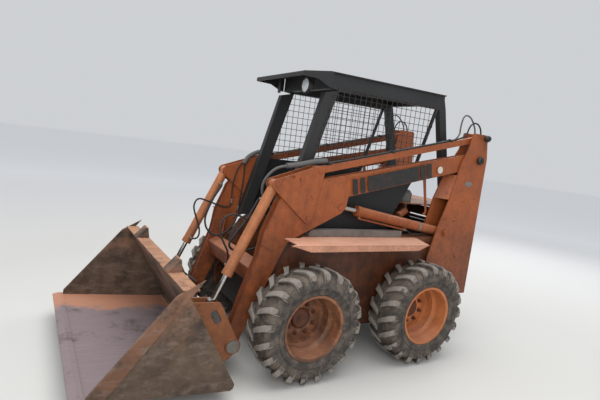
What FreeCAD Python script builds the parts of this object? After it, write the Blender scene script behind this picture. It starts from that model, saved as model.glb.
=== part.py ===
import FreeCAD, Part

import math
import os
import re

import Sketcher

# Skid steer loader with lowered arms and a dirt bucket, as a parametric document.
# X points forward, Y to the machine's left and Z up. The origin lies on the ground,
# below the middle of the whole machine. Millimetres throughout.

Vector = FreeCAD.Vector
Rotation = FreeCAD.Rotation
Placement = FreeCAD.Placement

doc = FreeCAD.newDocument("SkidSteerLoader")

# Driving sizes, one row each: name, millimetres, what it is.
SIZES = [
    ("front_axle_x", 160, "front axle ahead of the origin"),
    ("wheelbase", 1007, "between the two axles"),
    ("track_half", 630, "middle plane to a tyre's centre plane"),
    ("tyre_radius", 388, "over the lugs, and the height of the axles"),
    ("tyre_half_width", 132, "half the section width of a 10-16.5 tyre"),
    ("tread_radius", 362, "between the lugs"),
    ("rim_radius", 223, "over the rim's flanges"),
    ("bead_radius", 212, "where the tyre sits on the rim"),
    ("rim_half_width", 120, "half the width over the flanges"),
    ("rim_wall", 8, "rim and disc plate"),
    ("disc_out", -70, "outer face of the disc from the centre plane"),
    ("hub_cap_radius", 68, "hub cap"),
    ("hub_flange_radius", 125, "hub flange behind the disc"),
    ("stud_circle", 203, "bolt circle of a wheel"),
    ("shaft_radius", 32, "axle shaft"),
    ("axle_housing_radius", 66, "tube that holds an axle shaft"),
    ("fit", 0.3, "gap of a running or seated fit"),
    ("lug_pitch_count", 20, "lugs on each side of a tyre"),
    ("lug_width", 44, "a lug round the tyre, across its top"),
    ("lug_sweep", 62, "how far a lug leans between middle and shoulder"),
    ("lug_middle", 6, "inner end of a lug from the tyre's centre plane"),
    ("arm_pivot_x", -1465, "lift arm hinge"),
    ("arm_pivot_z", 1596, "lift arm hinge"),
    ("link_pivot_x", -1505, "rear pin of the levelling link"),
    ("link_pivot_z", 1784, "rear pin of the levelling link"),
    ("lift_base_x", -1187, "lower pin of the lift cylinder"),
    ("lift_base_z", 972, "lower pin of the lift cylinder"),
    ("lift_eye_x", -120, "rod pin of the lift cylinder"),
    ("lift_eye_z", 1144, "rod pin of the lift cylinder"),
    ("crank_pivot_x", 151, "bell crank hinge on the arm"),
    ("crank_pivot_z", 1058, "bell crank hinge on the arm"),
    ("crank_link_x", 98, "front pin of the levelling link"),
    ("crank_link_z", 1382, "front pin of the levelling link"),
    ("crank_tilt_x", 408, "upper pin of the tilt cylinder"),
    ("crank_tilt_z", 1268, "upper pin of the tilt cylinder"),
    ("tilt_eye_x", 755, "rod pin of the tilt cylinder"),
    ("tilt_eye_z", 490, "rod pin of the tilt cylinder"),
    ("bucket_pivot_x", 602, "hinge of the bucket on the arm"),
    ("bucket_pivot_z", 210, "hinge of the bucket on the arm"),
    ("arm_outer_y", 470, "outer face of an arm"),
    ("arm_inner_y", 400, "inner face of an arm"),
    ("arm_plate", 9, "side plates of an arm"),
    ("side_gap", 5.5, "beside an arm, to the crank plates and the coupler"),
    ("crank_plate", 10, "plates of the bell crank and the coupler"),
    ("tower_outer_y", 488, "outer face of a tower"),
    ("tower_inner_y", 382, "inner face of a tower"),
    ("tower_plate", 10, "plates of a tower"),
    ("pin_radius", 16, "pins"),
    ("pivot_tube_radius", 45, "tube between the bucket's two hinge pins"),
    ("pivot_tube_wall", 10, "wall of that tube"),
    ("pivot_tube_plug", 45, "depth of the plugs that hold the pins in its ends"),
    ("eye_radius", 32, "eyes of cylinders and links"),
    ("lift_barrel_radius", 37, "lift cylinder barrel"),
    ("lift_rod_radius", 19, "lift cylinder rod"),
    ("lift_barrel_length", 915, "lift cylinder barrel from its pin to its gland"),
    ("tilt_barrel_radius", 34, "tilt cylinder barrel"),
    ("tilt_rod_radius", 17, "tilt cylinder rod"),
    ("tilt_barrel_length", 655, "tilt cylinder barrel from its pin to its gland"),
    ("lift_rod_start", 80, "inner end of the lift rod from the cylinder's base pin"),
    ("tilt_rod_start", 180, "inner end of the tilt rod from the cylinder's base pin"),
    ("link_half_depth", 23, "levelling link, half its height"),
    ("housing_outer_y", 450, "outer face of a chain housing"),
    ("housing_inner_y", 330, "inner face of a chain housing"),
    ("housing_top_z", 925, "top of a chain housing"),
    ("housing_front_x", 345, "front end of a chain housing"),
    ("housing_rear_x", -1150, "rear end of a chain housing"),
    ("belly_z", 240, "underside of the machine"),
    ("floor_plate", 8, "floor and panel plate"),
    ("cab_floor_z", 480, "foot floor"),
    ("seat_deck_z", 880, "deck below the seat"),
    ("seat_deck_x", -80, "front edge of the seat deck"),
    ("firewall_x", -640, "wall between cab and engine"),
    ("hood_z", 1190, "top of the engine hood"),
    ("hood_neck_x", -800, "where the hood narrows between the side panels"),
    ("front_plate_x", 392, "front plate of the chassis"),
    ("front_plate_top_z", 570, "upper edge of the front plate"),
    ("rear_x", -1565, "rear face of the machine"),
    ("tower_low_z", 438, "lower end of the towers"),
    ("bumper_low_z", 330, "rear bumper"),
    ("bumper_top_z", 470, "rear bumper"),
    ("bumper_plate", 24, "rear bumper plate"),
    ("tie_down_y", 300, "tie-down hole of the rear bumper from the middle plane"),
    ("tie_down_z", 395, "tie-down holes"),
    ("tie_down_radius", 22, "tie-down holes"),
    ("door_gap", 12, "round the rear door"),
    ("door_plate", 30, "thickness of the rear door"),
    ("door_pin_in", 12, "hinge pin of the rear door from the door's edge"),
    ("door_pin_radius", 9, "hinge pins of the rear door"),
    ("door_pin_length", 25, "hinge pins, the part inside the door"),
    ("panel_outer_y", 350, "outer face of the cab's side panels"),
    ("panel_plate", 8, "cab side panels"),
    ("panel_top_z", 1400, "upper edge of the cab's side panels"),
    ("brace_top_x", -1040, "upper end of the thin brace behind a side screen"),
    ("brace_drop", 100, "upper end of that brace below the top of the roof frame"),
    ("brace_foot_x", -878, "where that brace passes the top of the side panel"),
    ("brace_width", 20, "thin brace, both ways"),
    ("screen_wire", 4, "wires of the side screens, and their depth"),
    ("screen_pitch", 50, "from wire to wire"),
    ("screen_edge", 14, "how far a screen lies on the posts"),
    ("step_outer_y", 700, "outer edge of a step"),
    ("step_flange", 42, "folded edge of a step"),
    ("step_front_x", 380, "front tip of a step"),
    ("step_rear_x", -896, "rear tip of a step"),
    ("post_width", 50, "roof frame tubes across the machine"),
    ("roof_front_x", 8, "front edge of the roof frame"),
    ("roof_rear_x", -1108, "rear edge of the roof frame"),
    ("roof_z", 2056, "top of the roof frame"),
    ("header_depth", 110, "side headers of the roof frame"),
    ("visor_reach", 245, "visor ahead of the roof frame"),
    ("visor_lip", 30, "front lip of the visor"),
    ("bucket_half_width", 810, "bucket over its sides"),
    ("bucket_plate", 9, "bucket plates"),
    ("cheek_strip", 8, "thickness of the strip along the front of a cheek"),
    ("cheek_strip_width", 60, "width of that strip"),
    ("ledge_rear", 70, "top ledge behind the bucket's top edge"),
    ("ledge_front", 20, "top ledge ahead of the bucket's top edge"),
    ("stop_height", 76, "wedge stops on the ledge"),
    ("stop_low_y", 385, "inner side of a wedge stop"),
    ("stop_high_y", 485, "outer side of a wedge stop"),
    ("bucket_heel_x", 687, "rear lower corner of the bucket"),
    ("bucket_heel_z", 96, "rear lower corner of the bucket"),
    ("heel_radius", 30, "bend of the bucket plate at the heel"),
    ("bucket_top_x", 1040, "top rear edge of the bucket"),
    ("bucket_top_z", 714, "top rear edge of the bucket"),
    ("bucket_tip_x", 1566, "cutting edge"),
    ("bucket_tip_z", 163, "cutting edge"),
    ("edge_plate", 16, "cutting edge plate"),
    ("edge_depth", 150, "cutting edge from front to back"),
    ("seat_ahead", 60, "front of the seat behind the edge of its deck"),
    ("seat_depth", 440, "seat cushion from front to rear"),
    ("seat_half_width", 240, "half the width of the seat"),
    ("seat_thickness", 75, "seat cushion at its rear edge"),
    ("seat_crown", 20, "front of the cushion above its rear edge"),
    ("seat_back_height", 440, "top of the seat back above the deck"),
    ("seat_back_top", 80, "thickness of the seat back at its top"),
    ("lever_ahead", 110, "control levers ahead of the seat deck's edge"),
    ("lever_bend", 560, "bend of a control lever above the foot floor"),
    ("lever_y", 255, "control levers from the middle plane"),
    ("engine_length", 560, "engine block"),
    ("engine_half_width", 210, "engine block"),
    ("engine_rear_x", -1450, "rear face of the engine block"),
    ("engine_low_z", 330, "underside of the engine block"),
    ("engine_high_z", 990, "top of the engine block"),
    ("lamp_radius", 55, "work lamp over its rim"),
    ("lamp_x", 165, "glass of the work lamp"),
    ("lamp_y", 250, "work lamp from the middle plane"),
    ("lamp_drop", 106, "work lamp below the top of the roof frame"),
    ("lamp_bracket_x", 96, "rear face of the lamp brackets"),
    ("lamp_bracket_plate", 8, "lamp brackets"),
    ("gland_rim", 2, "gland of a cylinder over its barrel"),
    ("gland_length", 30, "gland of a cylinder"),
    ("tube_drop", 52, "oil tube below the axis of a lift cylinder"),
    ("tube_radius", 7, "oil tubes"),
    ("clamp_place", 403, "clamp of that tube from the cylinder's base pin"),
    ("port_radius", 11, "oil ports"),
    ("lock_off", 9.5, "arm support strap beside the arm's inner face"),
    ("lock_plate", 3, "arm support strap"),
    ("knee_step", 5, "the knee plate's edge over an arm's lower leg"),
    ("slot_count", 8, "slots in each column of the rear door"),
    ("slot_pitch", 42, "from slot to slot"),
    ("slot_height", 14, "slots of the rear door"),
    ("slot_inner_y", 40, "slots from the middle plane"),
    ("slot_outer_y", 300, "slots from the middle plane"),
    ("slot_top", 90, "first slot below the door's upper edge"),
]

sheet = doc.addObject("Spreadsheet::Sheet", "Sizes")
for row, (name, value, meaning) in enumerate(SIZES, start=1):
    sheet.set(f"A{row}", name)
    sheet.set(f"B{row}", str(value))
    sheet.set(f"C{row}", meaning)
    sheet.setAlias(f"B{row}", name)
doc.recompute()
size = {name: float(sheet.get(name)) for name, value, meaning in SIZES}


def cells(expression):
    """Point every name of an expression at its cell of the sheet."""
    return re.sub(r"([a-z][a-z_0-9]*)", r"Sizes.\1", expression)


def bind(thing, prop, expression):
    thing.setExpression(prop, cells(expression))


def worth(name):
    return size[name]


def pin_at(name):
    return (size[name + "_x"], size[name + "_z"])


def between(start, end, share):
    return tuple(s + (e - s) * share for s, e in zip(start, end))


# Outlines: a corner is (u, v) or, where it is rounded, (u, v, radius).

def rounded(corners):
    """Straight edges and corner arcs of a closed outline."""
    corners = [tuple(c) + (0,) * (3 - len(c)) for c in corners]
    stops = []
    for i, (u, v, radius) in enumerate(corners):
        here = Vector(u, v, 0)
        back = (Vector(*corners[i - 1][:2], 0) - here)
        ahead = (Vector(*corners[(i + 1) % len(corners)][:2], 0) - here)
        if radius <= 0:
            stops.append((here, here, None))
            continue
        half = back.getAngle(ahead) / 2
        reach = radius / math.tan(half)
        back.normalize()
        ahead.normalize()
        middle = (back + ahead)
        middle.normalize()
        centre = here + middle * (radius / math.sin(half))
        stops.append((here + back * reach, here + ahead * reach, centre - middle * radius))
    edges = []
    for i, (first, last, crest) in enumerate(stops):
        if crest is not None:
            edges.append(Part.Arc(first, crest, last))
        following = stops[(i + 1) % len(stops)][0]
        if (following - last).Length > 1e-6:
            edges.append(Part.LineSegment(last, following))
    return edges


def belt(circles):
    """Outline of a belt round circles (u, v, radius), listed anticlockwise."""
    touches = []
    for i, (u, v, radius) in enumerate(circles):
        nu, nv, other = circles[(i + 1) % len(circles)]
        way = Vector(nu - u, nv - v, 0)
        lean = math.asin((radius - other) / way.Length)
        way.normalize()
        side = Vector(way.y, -way.x, 0) * math.cos(lean) + way * math.sin(lean)
        touches.append((Vector(u, v, 0) + side * radius, Vector(nu, nv, 0) + side * other, side))
    edges = []
    for i, (u, v, radius) in enumerate(circles):
        arrive, side_in = touches[i - 1][1], touches[i - 1][2]
        leave, side_out = touches[i][0], touches[i][2]
        a_in, a_out = math.atan2(side_in.y, side_in.x), math.atan2(side_out.y, side_out.x)
        while a_out < a_in:
            a_out += 2 * math.pi
        a_mid = (a_in + a_out) / 2
        crest = Vector(u + radius * math.cos(a_mid), v + radius * math.sin(a_mid), 0)
        edges.append(Part.Arc(arrive, crest, leave))
        edges.append(Part.LineSegment(touches[i][0], touches[i][1]))
    return edges


# A view names the plane of an outline: side is X, Z with depth along Y; front is Y, Z
# with depth along X; plan is X, Y with depth along Z.
VIEWS = {
    "side": ("XZ_Plane", "-({high})"),
    "front": ("YZ_Plane", "{low}"),
    "plan": ("XY_Plane", "{low}"),
}


def sketch_in(body, role, edges, holes=()):
    sketch = body.newObject("Sketcher::SketchObject", body.Name + "Sketch")
    plane = [f for f in body.Origin.OriginFeatures if f.Role == role][0]
    sketch.AttachmentSupport = [(plane, "")]
    sketch.MapMode = "FlatFace"
    first = sketch.GeometryCount
    sketch.addGeometry(edges, False)
    for u, v, radius in holes:
        sketch.addGeometry(Part.Circle(Vector(u, v, 0), Vector(0, 0, 1), radius), False)
    for i in range(len(edges)):
        here, there = first + i, first + (i + 1) % len(edges)
        for end in (1, 2):
            for start in (1, 2):
                if (sketch.getPoint(here, end) - sketch.getPoint(there, start)).Length < 1e-4:
                    sketch.addConstraint(Sketcher.Constraint("Coincident", here, end, there, start))
    return sketch


def plate(name, view, outline, low, high, holes=()):
    """A body padded from an outline between two depths, given as expressions."""
    body = doc.addObject("PartDesign::Body", name)
    role, offset = VIEWS[view]
    edges = outline if isinstance(outline[0], (Part.LineSegment, Part.Arc, Part.ArcOfCircle)) else rounded(outline)
    sketch = sketch_in(body, role, edges, holes)
    bind(sketch, "AttachmentOffset.Base.z", offset.format(low=low, high=high))
    pad = body.newObject("PartDesign::Pad", name + "Pad")
    pad.Profile = sketch
    bind(pad, "Length", f"({high}) - ({low})")
    return body


def box(name, x_low, x_high, y_low, y_high, z_low, z_high):
    """A block between six named depths."""
    block = doc.addObject("Part::Box", name)
    spans = (("Length", "x", x_low, x_high), ("Width", "y", y_low, y_high), ("Height", "z", z_low, z_high))
    for side, axis, low, high in spans:
        bind(block, side, f"({high}) - ({low})")
        bind(block, "Placement.Base." + axis, low)
    return block


def pin(name, at, radius, low, high):
    """A round bar across the machine through a named pin's place."""
    bar = doc.addObject("Part::Cylinder", name)
    bar.Placement = Placement(Vector(), Rotation(Vector(1, 0, 0), -90))
    bind(bar, "Radius", radius)
    bind(bar, "Height", f"({high}) - ({low})")
    bind(bar, "Placement.Base.x", at + "_x")
    bind(bar, "Placement.Base.y", low)
    bind(bar, "Placement.Base.z", at + "_z")
    return bar


def rod(name, start, end, radius):
    """A round bar between two points."""
    start, end = Vector(*start), Vector(*end)
    bar = doc.addObject("Part::Cylinder", name)
    bar.Height = (end - start).Length
    bar.Placement = Placement(start, Rotation(Vector(0, 0, 1), end - start))
    bind(bar, "Radius", radius)
    return bar


def fuse(name, *pieces):
    whole = doc.addObject("Part::MultiFuse", name)
    whole.Shapes = list(pieces)
    whole.Refine = True
    return whole


def cut(name, base, tool):
    rest = doc.addObject("Part::Cut", name)
    rest.Base = base
    rest.Tool = tool
    return rest


def mirror(name, source):
    """The right-hand twin of a left-hand piece."""
    twin = doc.addObject("Part::Mirroring", name)
    twin.Source = source
    twin.Normal = Vector(0, 1, 0)
    return twin


def group(name, *pieces):
    """Like pieces that share a name."""
    several = doc.addObject("Part::Compound", name)
    several.Links = list(pieces)
    return several


def loft(name, *sections):
    """A solid with straight sides through closed outlines of corner points."""
    wires = []
    for i, corners in enumerate(sections, start=1):
        wire = doc.addObject("Part::Feature", f"{name}Section{i}")
        wire.Shape = Part.makePolygon([Vector(*corner) for corner in corners + corners[:1]])
        wires.append(wire)
    body = doc.addObject("Part::Loft", name)
    body.Sections, body.Solid, body.Ruled = wires, True, True
    return body


nodes = []


def keep(thing, label):
    """Hand a finished sub-part over under its own label."""
    thing.Label = label
    nodes.append(thing)
    return thing


def keep_pair(left, name):
    keep(left, name + "_left")
    keep(mirror(name.title().replace("_", "") + "Right", left), name + "_right")


def keep_both_sides(left, name):
    twin = mirror(name.title().replace("_", "") + "Twin", left)
    keep(group(name.title().replace("_", "") + "Both", left, twin), name)


# Wheels: a tyre with two staggered rows of slanted lugs, and a rim with its hub and shaft.

def revolved(name, profile):
    """A body turned about its own Y axis from a profile (y, radius)."""
    body = doc.addObject("PartDesign::Body", name)
    sketch = sketch_in(body, "YZ_Plane", rounded(profile))
    turn = body.newObject("PartDesign::Revolution", name + "Turn")
    turn.Profile = sketch
    turn.ReferenceAxis = (sketch, ["H_Axis"])
    turn.Angle = 360
    return body


def make_tyre():
    """A shell of flat facets: round the tyre a lug and a gap in turn on each side.

    The two sides are set off by half a pitch, so a lug faces a gap across the middle.
    """
    tread, bead, half, crown = (worth(n) for n in ("tread_radius", "bead_radius", "tyre_half_width", "tyre_radius"))
    columns = 2 * int(worth("lug_pitch_count"))
    step = 2 * math.pi / columns
    flank = (step - worth("lug_width") / crown) / 2
    middle, shoulder = worth("lug_middle"), half - 2
    lean = -worth("lug_sweep") / tread
    faces = []

    def spot(side, y, radius, turn, share=1.0):
        """A point, turned forward from straight down, where the lugs lean by a share of their sweep."""
        turn = math.pi - flank + turn + lean * share
        return Vector(radius * math.sin(turn), side * y, radius * math.cos(turn))

    def facet(*corners):
        a, b, c, d = corners
        flat = abs((b - a).cross(d - a).dot(c - a)) < 1e-3
        for ring in ([corners] if flat else [(a, b, c), (a, c, d)]):
            faces.append(Part.Face(Part.makePolygon(list(ring) + [ring[0]])))

    tread_rows = [(y, radius, (y - middle) / (shoulder - middle)) for y, radius in (
        (middle, tread), (half - 72, tread), (half - 22, tread - 8), (shoulder, tread - 36))]
    wall_rows = [(half, bead + 80, 1.0), (half - 14, bead + 24, 1.0), (half - 27, bead / math.cos(step / 2), 1.0)]
    for column in range(columns):
        first, last = column * step, (column + 1) * step
        rims = []
        for side in (1, -1):
            foot = [[spot(side, y, radius, turn, share) for y, radius, share in tread_rows + wall_rows]
                    for turn in (first, last)]
            ground = len(tread_rows) - 1
            is_lug = column % 2 == (0 if side == 1 else 1)
            for row in range(ground if is_lug else 0, len(foot[0]) - 1):
                facet(foot[0][row], foot[1][row], foot[1][row + 1], foot[0][row + 1])
            if is_lug:
                inner = [spot(side, middle, crown, turn, 0) for turn in (first + flank, last - flank)]
                outer = [spot(side, half - 6, crown - 2, turn) for turn in (first + flank, last - flank)]
                facet(inner[0], inner[1], outer[1], outer[0])
                facet(inner[0], inner[1], foot[1][0], foot[0][0])
                facet(outer[0], outer[1], foot[1][ground], foot[0][ground])
                for flankside in (0, 1):
                    low = foot[flankside]
                    facet(inner[flankside], low[0], low[1], low[2])
                    facet(inner[flankside], low[2], low[3], outer[flankside])
            rims.append((foot[0][0], foot[1][0], foot[0][-1], foot[1][-1]))
        left, right = rims
        facet(left[0], left[1], right[1], right[0])
        facet(left[2], left[3], right[3], right[2])
    tyre = doc.addObject("Part::Feature", "TyreWithLugs")
    tyre.Shape = Part.makeSolid(Part.makeShell(faces))
    return tyre


def make_rim():
    flange, wall, half = worth("rim_radius"), worth("rim_wall"), worth("rim_half_width")
    seat = worth("bead_radius") - worth("fit")
    drop, disc = seat - 22, worth("disc_out")
    bore = worth("hub_cap_radius") + worth("fit")
    profile = [
        (-half, flange), (-half + 7, flange), (-half + 12, seat), (disc - 20, seat), (disc - 2, drop),
        (-10, drop), (15, seat), (half - 12, seat), (half - 7, flange), (half, flange),
        (half, flange - wall), (half - 6, seat - wall), (15 + wall / 2, seat - wall),
        (-10 + wall / 2, drop - wall), (disc, drop - wall), (disc, bore), (disc - wall - 4, bore),
        (disc - wall - 4, drop - 4), (disc - 24, seat - wall), (-half + 6, seat - wall), (-half, flange - wall),
    ]
    ring = revolved("RimShell", profile)
    inner = worth("disc_out") - wall - 4
    reach = worth("track_half") - worth("housing_outer_y") + 60
    shaft = [
        (-reach, 0), (-reach, worth("shaft_radius")), (inner - 14, worth("shaft_radius")),
        (inner - 14, worth("hub_flange_radius")), (inner, worth("hub_flange_radius")),
        (inner, worth("hub_cap_radius")), (disc + 15, worth("hub_cap_radius")),
        (disc + 19, worth("hub_cap_radius") - 6), (disc + 19, 0),
    ]
    hub = revolved("Hub", shaft)
    studs = []
    for i in range(8):
        turn = math.radians(22.5 + 45 * i)
        u = worth("stud_circle") / 2 * math.cos(turn)
        v = worth("stud_circle") / 2 * math.sin(turn)
        stud = rod(f"Stud{i + 1}", (u, inner - 6, v), (u, disc + 16, v), "rim_wall + 3")
        studs.append(stud)
    return fuse("RimWithHub", ring, hub, *studs)


def at_wheel(name, source, axle_x):
    copy = doc.addObject("Part::Feature", name)
    copy.Shape = source.Shape.copy()
    copy.Placement = Placement(Vector(axle_x, worth("track_half"), worth("tyre_radius")), Rotation())
    return copy


def make_wheels():
    tyre, rim = make_tyre(), make_rim()
    doc.recompute()
    for end, axle_x in (("front", worth("front_axle_x")), ("rear", worth("front_axle_x") - worth("wheelbase"))):
        keep_pair(at_wheel("Tyre" + end.title(), tyre, axle_x), "tyre_" + end)
        keep_pair(at_wheel("Rim" + end.title(), rim, axle_x), "rim_" + end)


# Chassis

def make_axle_housings():
    tubes = []
    for end, place in (("Front", "front_axle_x"), ("Rear", "front_axle_x - wheelbase")):
        tube = doc.addObject("Part::Cylinder", "Axle" + end + "Tube")
        bore = doc.addObject("Part::Cylinder", "Axle" + end + "Bore")
        for bar, radius in ((tube, "axle_housing_radius"), (bore, "shaft_radius + fit")):
            bar.Placement = Placement(Vector(), Rotation(Vector(1, 0, 0), -90))
            bind(bar, "Radius", radius)
            bind(bar, "Height", "track_half + disc_out - rim_wall - 18 - fit - housing_outer_y")
            bind(bar, "Placement.Base.x", place)
            bind(bar, "Placement.Base.y", "housing_outer_y")
            bind(bar, "Placement.Base.z", "tyre_radius")
        left = cut("Axle" + end + "Left", tube, bore)
        tubes += [left, mirror("Axle" + end + "Right", left)]
    keep(group("AxleHousings", *tubes), "axle_housings")


def make_chain_housings():
    top, low = worth("housing_top_z"), worth("belly_z")
    front, rear = worth("housing_front_x"), worth("housing_rear_x")
    outline = [
        (rear, low, 20), (front, low, 20), (front, 560, 30), (front - 15, 660), (front - 60, 790),
        (front - 110, 870), (front - 195, top), (rear, top),
    ]
    left = plate("ChainHousing", "side", outline, "housing_inner_y", "housing_outer_y")
    holes = []
    for end, place in (("Front", "front_axle_x"), ("Rear", "front_axle_x - wheelbase")):
        bore = doc.addObject("Part::Cylinder", "Housing" + end + "Bore")
        bore.Placement = Placement(Vector(), Rotation(Vector(1, 0, 0), -90))
        bind(bore, "Radius", "shaft_radius + fit")
        bind(bore, "Height", "70")
        bind(bore, "Placement.Base.x", place)
        bind(bore, "Placement.Base.y", "housing_outer_y - 65")
        bind(bore, "Placement.Base.z", "tyre_radius")
        holes.append(bore)
    drilled = cut("ChainHousingDrilled", left, fuse("HousingBores", *holes))
    keep_both_sides(drilled, "chain_housings")


def make_steps():
    top = "housing_top_z - 2"
    plan = [
        (worth("step_rear_x") + 90, worth("step_outer_y")), (worth("step_rear_x"), worth("housing_outer_y") + 40),
        (worth("step_rear_x"), worth("housing_outer_y")), (150, worth("housing_outer_y")),
        (200, worth("tower_outer_y")), (worth("step_front_x") - 60, worth("tower_outer_y")),
        (worth("step_front_x") - 60, worth("step_outer_y") - 40), (worth("step_front_x"), worth("step_outer_y")),
    ]
    tread = plate("StepTread", "plan", plan, top + " - 6", top)
    edge_low = worth("housing_top_z") - 2 - worth("step_flange")
    edge_top = worth("housing_top_z") - 2
    flange = [
        (worth("step_rear_x") + 90, edge_top), (worth("step_rear_x") + 190, edge_low),
        (worth("step_front_x") - 150, edge_low), (worth("step_front_x"), edge_top),
    ]
    fold = plate("StepFold", "side", flange, "step_outer_y - 6", "step_outer_y")
    keep_both_sides(fuse("Step", tread, fold), "steps")


def make_sills():
    rear, front, low = worth("firewall_x") - 120, 100, worth("housing_top_z")
    outline = [(rear, low), (front, low), (front, low + 48, 30), (rear, low + 48)]
    sill = plate("Sill", "side", outline, "panel_outer_y + 42", "housing_outer_y - 8")
    keep_both_sides(sill, "sills")


def make_side_panels():
    top, low, rear = worth("panel_top_z"), worth("housing_top_z"), worth("firewall_x")
    outline = [
        (140, low), (300, low + 35), (180, top), (rear - 260, top), (rear - 60, top - 350, 60),
        (rear - 50, low),
    ]
    panel = plate("SidePanel", "side", outline, "panel_outer_y - panel_plate", "panel_outer_y")
    keep_both_sides(panel, "side_panels")


def make_belly():
    low, wall = worth("belly_z"), worth("floor_plate")
    top, bumper = worth("front_plate_top_z"), worth("bumper_top_z")
    front, rear = worth("front_plate_x"), worth("rear_x") + worth("bumper_plate") + worth("fit")
    outline = [
        (front, top), (front, low + 60), (front - 60, low), (rear + 60, low), (rear, low + 80),
        (rear, bumper), (rear + wall, bumper), (rear + wall, low + 83), (rear + 63, low + wall),
        (front - 63, low + wall), (front - wall, low + 62), (front - wall, top),
    ]
    keep(plate("BellyPan", "side", outline, "-housing_inner_y", "housing_inner_y"), "belly_pan")


def make_cab_floor():
    foot, deck, wall = worth("cab_floor_z"), worth("seat_deck_z"), worth("floor_plate")
    front, riser, fire, hood = worth("front_plate_x"), worth("seat_deck_x"), worth("firewall_x"), worth("hood_z")
    outline = [
        (front - wall, foot), (front - wall, foot - wall), (riser - wall, foot - wall), (riser - wall, deck - wall),
        (fire - wall, deck - wall), (fire - wall, hood - wall), (fire, hood - wall), (fire, deck), (riser, deck),
        (riser, foot),
    ]
    keep(plate("CabFloor", "side", outline, "-housing_inner_y", "housing_inner_y"), "cab_floor")


def make_towers():
    rear, low = worth("rear_x"), worth("tower_low_z")
    step_x, step_z = worth("housing_rear_x"), worth("housing_top_z")
    pivot_x, pivot_z = pin_at("arm_pivot")
    link_x, link_z = pin_at("link_pivot")
    base_x, base_z = pin_at("lift_base")
    outer = [
        (rear, low), (base_x + 180, low), (base_x + 148, base_z - 199), (base_x + 87, base_z + 43),
        (base_x + 1, base_z + 278), (pivot_x + 206, pivot_z - 53), (pivot_x + 146, pivot_z + 76),
        (link_x + 153, link_z + 28, 8), (link_x - 33, link_z + 28, 24), (link_x - 33, link_z - 40, 30),
        (rear, pivot_z + 16, 40),
    ]
    inner = [
        (rear, low), (step_x, low), (step_x, step_z), (base_x + 165, step_z), (base_x + 82, base_z + 278),
        (pivot_x + 235, pivot_z - 53),
    ] + outer[6:]
    outside = plate("TowerOuter", "side", outer, "tower_outer_y - tower_plate", "tower_outer_y")
    inside = plate("TowerInner", "side", inner, "tower_inner_y", "tower_inner_y + tower_plate")
    back = [
        (rear, low), (rear + 9, low), (rear + 9, pivot_z - 66), (rear, pivot_z - 60),
    ]
    closing = plate("TowerBack", "side", back, "tower_inner_y", "tower_outer_y")
    base = [(rear, low), (step_x, low), (step_x, low + 9), (rear, low + 9)]
    bottom = plate("TowerBase", "side", base, "tower_inner_y", "tower_outer_y")
    web = []
    for y, (lower, upper) in ((worth("tower_inner_y") + worth("tower_plate") - 2, inner[4:6]),
                              (worth("tower_outer_y") - worth("tower_plate") + 2, outer[4:6])):
        corner = between(lower, upper, 0.7)
        web.append([(lower[0], y, lower[1]), (corner[0], y, corner[1]),
                    (corner[0] - worth("tower_plate"), y, corner[1]), (lower[0] - worth("tower_plate"), y, lower[1])])
    front = loft("TowerWeb", *web)
    pins = [
        pin("ArmPivotPin", "arm_pivot", "pin_radius + 6", "tower_inner_y", "tower_outer_y + 4"),
        pin("LinkPivotPin", "link_pivot", "pin_radius", "tower_inner_y", "tower_outer_y + 4"),
        pin("LiftBasePin", "lift_base", "pin_radius", "tower_inner_y", "tower_outer_y + 4"),
    ]
    keep_pair(fuse("Tower", outside, inside, closing, bottom, front, *pins), "tower")


def upright(name, radius, low, high):
    """A round bar on the rear door's hinge axis."""
    bar = doc.addObject("Part::Cylinder", name)
    bind(bar, "Radius", radius)
    bind(bar, "Height", f"({high}) - ({low})")
    bind(bar, "Placement.Base.x", "rear_x + door_plate / 2")
    bind(bar, "Placement.Base.y", "-(tower_inner_y - door_gap - door_pin_in)")
    bind(bar, "Placement.Base.z", low)
    return bar


DOOR_LOW = "(bumper_top_z + door_gap)"
DOOR_HIGH = "(hood_z - 68 - door_gap)"


def door_pin(name, low, high):
    spans = [text.replace("door_low", DOOR_LOW).replace("door_high", DOOR_HIGH) for text in (low, high)]
    return upright(name, "door_pin_radius", *spans)


def make_rear_frame():
    bumper = box("RearBumper", "rear_x", "rear_x + bumper_plate", "-tower_inner_y", "tower_inner_y", "bumper_low_z",
                 "bumper_top_z")
    header = box("RearHeader", "rear_x", "rear_x + 60", "-tower_inner_y", "tower_inner_y", "hood_z - 68",
                 "hood_z - floor_plate")
    holes = []
    for side, place in (("Left", "tie_down_y"), ("Right", "-tie_down_y")):
        hole = doc.addObject("Part::Cylinder", "TieDown" + side)
        hole.Placement = Placement(Vector(), Rotation(Vector(0, 1, 0), 90))
        bind(hole, "Radius", "tie_down_radius")
        bind(hole, "Height", "bumper_plate + 20")
        bind(hole, "Placement.Base.x", "rear_x - 10")
        bind(hole, "Placement.Base.y", place)
        bind(hole, "Placement.Base.z", "tie_down_z")
        holes.append(hole)
    drilled = cut("RearBumperDrilled", bumper, fuse("TieDowns", *holes))
    low = fuse("RearBumperWithPin", drilled, door_pin("DoorPinLow", "bumper_top_z - 6", "door_low + door_pin_length"))
    high = fuse("RearHeaderWithPin", header, door_pin("DoorPinHigh", "door_high - door_pin_length", "hood_z - 60"))
    keep(group("RearFrame", low, high), "rear_frame")


def make_hood():
    rear, neck, front = worth("rear_x"), worth("hood_neck_x"), worth("firewall_x")
    wide = worth("tower_inner_y")
    narrow = worth("panel_outer_y") - worth("panel_plate") - worth("fit")
    outline = [
        (rear, -wide), (neck, -wide), (neck, -narrow), (front, -narrow), (front, narrow), (neck, narrow),
        (neck, wide), (rear, wide),
    ]
    keep(plate("EngineHood", "plan", outline, "hood_z - floor_plate", "hood_z"), "engine_hood")


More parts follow.
